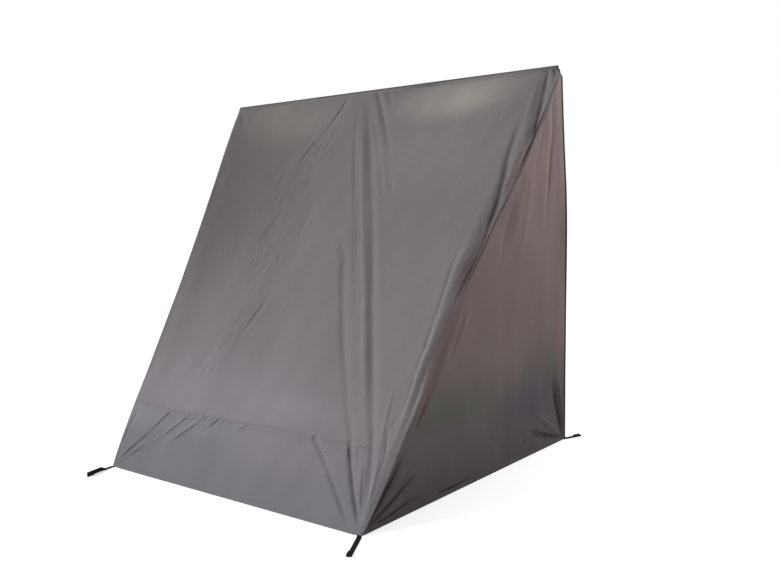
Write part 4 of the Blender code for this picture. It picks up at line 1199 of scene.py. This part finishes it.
def strap(name, left, right, normal, thick, profile, closed=False):
    """Webbing between two edge lines, as an endless ring or with shut ends."""
    u, v = (np.array(values)[None, :, None] for values in zip(*profile))
    thick = np.broadcast_to(thick, len(left))[:, None, None]
    grid = left[:, None] * (1 - u) + right[:, None] * u + normal[:, None] * v * thick
    count, around = grid.shape[:2]
    number = np.arange(count * around).reshape(count, around)
    following = np.roll(number, -1, axis=0) if closed else number[1:]
    low = number if closed else number[:-1]
    faces = np.stack([low, following, np.roll(following, -1, axis=1), np.roll(low, -1, axis=1)],
                     axis=-1).reshape(-1, 4).tolist()
    if not closed:
        faces += [number[0].tolist(), number[-1].tolist()[::-1]]
    points = grid.reshape(-1, 3)
    arms = points - points[0]
    size = sum(np.dot(arms[f[0]], np.cross(arms[f[k]], arms[f[k + 1]]))
               for f in faces for k in range(1, len(f) - 1))
    marks = strip_marks(run_along((left + right) / 2), u[0, :, 0] * 2 * WEB_HALF)
    return new_piece(name, points, faces, marks[..., ::-1].reshape(-1, 2), size < 0)


for name, (side, length, angle, twist, spot) in LOOPS.items():
    front = "front" in name
    turn = math.radians(angle)
    out = np.array((side * math.sin(turn), (-1 if front else 1) * math.cos(turn), 0.0))
    sideways = np.array((-out[1], out[0], 0.0))
    fold_line = np.array((*spot, 0.0))

    def on_panel(x, up, off):
        """Points on the panel that holds this tail."""
        return front_point(x, up, off) if front else side_point(side, x, up, off + 0.0002)

    # sewn tail
    if front:
        edges = [side * (FRONT_HALF - TAIL_NEAR), side * (FRONT_HALF - TAIL_FAR)]
    else:
        edges = [SIDE_LENGTH - TAIL_NEAR, SIDE_LENGTH - TAIL_FAR]
    legs = [[on_panel(x, up, TAIL_DEEP) for up in (FRONT_TAIL if front else REAR_TAIL)]
            for x in edges]
    end = fold_line + UP * WEB / 2 - out * (WEB / 2 + 0.0004)
    ends = [end + sideways * WEB_HALF, end - sideways * WEB_HALF]
    if np.dot(legs[1][0] - legs[0][0], sideways) > 0:
        ends.reverse()
    lines = []
    for leg, tip in zip(legs, ends):
        low = np.array((*leg[-1][:2], WEB / 2))
        foot = [low + (tip - low) * s for s in (0.35, 0.7, 0.92, 1.0)]
        lines.append(rounded(leg[:-1] + [low] + foot, 1))
    ahead = np.gradient((lines[0] + lines[1]) / 2, axis=0)
    normal = unit(np.cross(lines[1] - lines[0], ahead))
    thick = np.full(len(ahead), WEB - 0.0002)
    thick[-1] = WEB * 0.55
    tail = strap("webbing_tail_" + name, *lines, normal, thick, TWO_LAYERS)
    link(tail, "canopy", "webbing", webbing, "peg_loop_tail_" + name)
    climb = np.linspace(BOX_LOW, BOX_HIGH, 12)
    flanks = [edges[0] + (edges[1] - edges[0]) * share for share in (0.2, 0.8)]
    box = [(x, way) for way in (climb, climb[::-1]) for x in flanks]  # sewn up and back
    across = np.linspace(*flanks, 12)
    level = [np.full(12, up) for up in (BOX_LOW, BOX_HIGH)]
    box += [(across, up) for up in (*level, climb, climb[::-1])]
    inward = -(FRONT_OUT if front else side_frame(side)[1])
    stitches("tail_stitches_" + name, [(on_panel(x, up, TAIL_SEWN), inward) for x, up in box],
             "webbing", black_thread, pitch=0.0030, length=0.0022)

    # free loop
    def settle(along, across, up):
        """A point of the loop, from its own flat place to the twisted one."""
        share = smooth((along / length - 0.15) / 0.45)
        bend = math.radians(twist) * share
        y = across * np.cos(bend) - side * up * np.sin(bend)
        z = up * np.cos(bend) + (side * across + WEB_HALF) * np.sin(bend)
        return (fold_line + np.multiply.outer(along, out) + np.multiply.outer(y, sideways)
                + np.multiply.outer(z, UP))

    def sewn_row(along, across):
        """A row of thread on the loop, and the way out of it."""
        along, across, up = np.broadcast_arrays(along, across, WEB)
        line = settle(along, across, up)
        return line, unit(settle(along, across, up + 0.001) - line)

    layer = WEB / 2
    top = EYE_HEIGHT + WEB
    stop = length - top / 2
    flat = np.linspace(0.0, stop, max(30, round(length / 0.0016)))
    opening = EYE_HEIGHT * smooth((flat - length + EYE_LENGTH) / 0.016)
    round_end = np.linspace(-math.pi / 2, math.pi / 2, 15)[1:-1]
    round_start = np.linspace(math.pi / 2, 3 * math.pi / 2, 9)[1:-1]
    radius = top / 2 - layer / 2
    side_view = np.concatenate([np.stack(part, axis=-1) for part in (
        (flat, np.full(flat.shape, layer / 2)),
        (stop + radius * np.cos(round_end), top / 2 + radius * np.sin(round_end)),
        (flat[::-1], (WEB - layer / 2 + opening)[::-1]),
        (layer / 2 * np.cos(round_start), WEB / 2 + layer / 2 * np.sin(round_start)))])
    ahead = unit(np.roll(side_view, -1, axis=0) - np.roll(side_view, 1, axis=0))
    tip = side_view + np.stack([-ahead[:, 1], ahead[:, 0]], axis=-1) * 0.001
    wide = np.full(len(side_view), WEB_HALF)
    left, right = (settle(side_view[:, 0], half, side_view[:, 1]) for half in (wide, -wide))
    normal = unit(settle(tip[:, 0], 0 * wide, tip[:, 1])
                  - settle(side_view[:, 0], 0 * wide, side_view[:, 1]))
    loop = strap("webbing_loop_" + name, left, right, normal, layer - 0.00008, ONE_LAYER,
                 closed=True)
    link(loop, "loop_" + name, "webbing", webbing, "peg_loop_" + name)
    eye = length - EYE_LENGTH - 0.004
    rows = [sewn_row(at, np.linspace(-0.0085, 0.0085, 14)) for at in (eye, eye + 0.0025, 0.008)]
    rows += [sewn_row(np.linspace(0.008, eye, 60), flank) for flank in (-0.0075, 0.0075)]
    stitches("loop_stitches_" + name, rows, "webbing", black_thread, "loop_" + name,
             pitch=0.0030, length=0.0022)


# Stage
# A plain pale floor, soft light from the front left and above, and a camera
# where the picture was taken from.
PALE = (1, 1, 1, 1)
FLOOR_GREY = (0.42, 0.42, 0.42, 1)  # what lights the object from below
FLOOR_GLOW = 0.40
REACH = 60
SKY_LEVEL = 0.39


def in_view(tree):
    """1 where the camera sees a surface, also by way of a gloss or through glass."""
    path = node(tree, "ShaderNodeLightPath")
    total = path.outputs["Is Camera Ray"]
    for ray in ("Is Glossy Ray", "Is Transmission Ray"):
        total = node(tree, "ShaderNodeMath", {0: total, 1: path.outputs[ray]},
                     operation="ADD", use_clamp=True).outputs[0]
    return total


floor_mesh = bpy.data.meshes.new("floor")
floor_mesh.from_pydata([(-REACH, -REACH, 0), (REACH, -REACH, 0), (REACH, REACH, 0),
                        (-REACH, REACH, 0)], [], [(0, 1, 2, 3)])
floor = bpy.data.objects.new("floor", floor_mesh)
bpy.context.scene.collection.objects.link(floor)
floor.location.z = -0.0005
floor_material = bpy.data.materials.new("floor")
floor_material.use_nodes = True
tree = floor_material.node_tree
tree.nodes.clear()
seen = in_view(tree)
colour = node(tree, "ShaderNodeMix", {"A": FLOOR_GREY, "B": PALE, "Factor": seen},
              data_type="RGBA").outputs["Result"]
diffuse = node(tree, "ShaderNodeBsdfDiffuse", {"Color": colour}).outputs[0]
glow = node(tree, "ShaderNodeEmission", {
    "Color": PALE, "Strength": maths(tree, "MULTIPLY", seen, FLOOR_GLOW)}).outputs[0]
both = node(tree, "ShaderNodeAddShader", {0: diffuse, 1: glow}).outputs[0]
node(tree, "ShaderNodeOutputMaterial", {"Surface": both})
floor.data.materials.append(floor_material)

world = bpy.data.worlds.new("studio")
bpy.context.scene.world = world
world.use_nodes = True
tree = world.node_tree
back = tree.nodes["Background"]
back.inputs["Color"].default_value = PALE
level = node(tree, "ShaderNodeMapRange",
             {"Value": in_view(tree), "To Min": SKY_LEVEL, "To Max": 1.0}).outputs["Result"]
tree.links.new(level, back.inputs["Strength"])


def lamp(name, kind, strength, place, target, **size):
    """A lamp at a place, turned towards a target."""
    data = bpy.data.lights.new(name, kind)
    data.energy = strength
    for key, value in size.items():
        setattr(data, key, value)
    made = bpy.data.objects.new(name, data)
    bpy.context.scene.collection.objects.link(made)
    made.location = place
    made.rotation_mode = "QUATERNION"
    made.rotation_quaternion = (Vector(target) - Vector(place)).to_track_quat("-Z", "Y")


lamp("key", "SUN", 2.16, (-7.2, -4.9, 4.8), (0, 0, 0), angle=math.radians(22))
lamp("side_fill", "AREA", 66, (3.2, 1.7, 2.7), (0.95, 0.2, 1.1), size=1.2)

CAMERA_PLACE = (2.25737, -2.64754, 1.27026)
RIGHT = Vector((0.83413, 0.55003, -0.04111))
BACK = Vector((0.54978, -0.82314, 0.14208))
camera_data = bpy.data.cameras.new("camera")
camera_data.sensor_width = 36.0
camera_data.lens = 33.339
camera = bpy.data.objects.new("camera", camera_data)
bpy.context.scene.collection.objects.link(camera)
turn = Matrix((RIGHT, BACK.cross(RIGHT), BACK)).transposed().to_4x4()
camera.matrix_world = Matrix.Translation(CAMERA_PLACE) @ turn
bpy.context.scene.camera = camera
bpy.context.scene.view_settings.view_transform = "Standard"
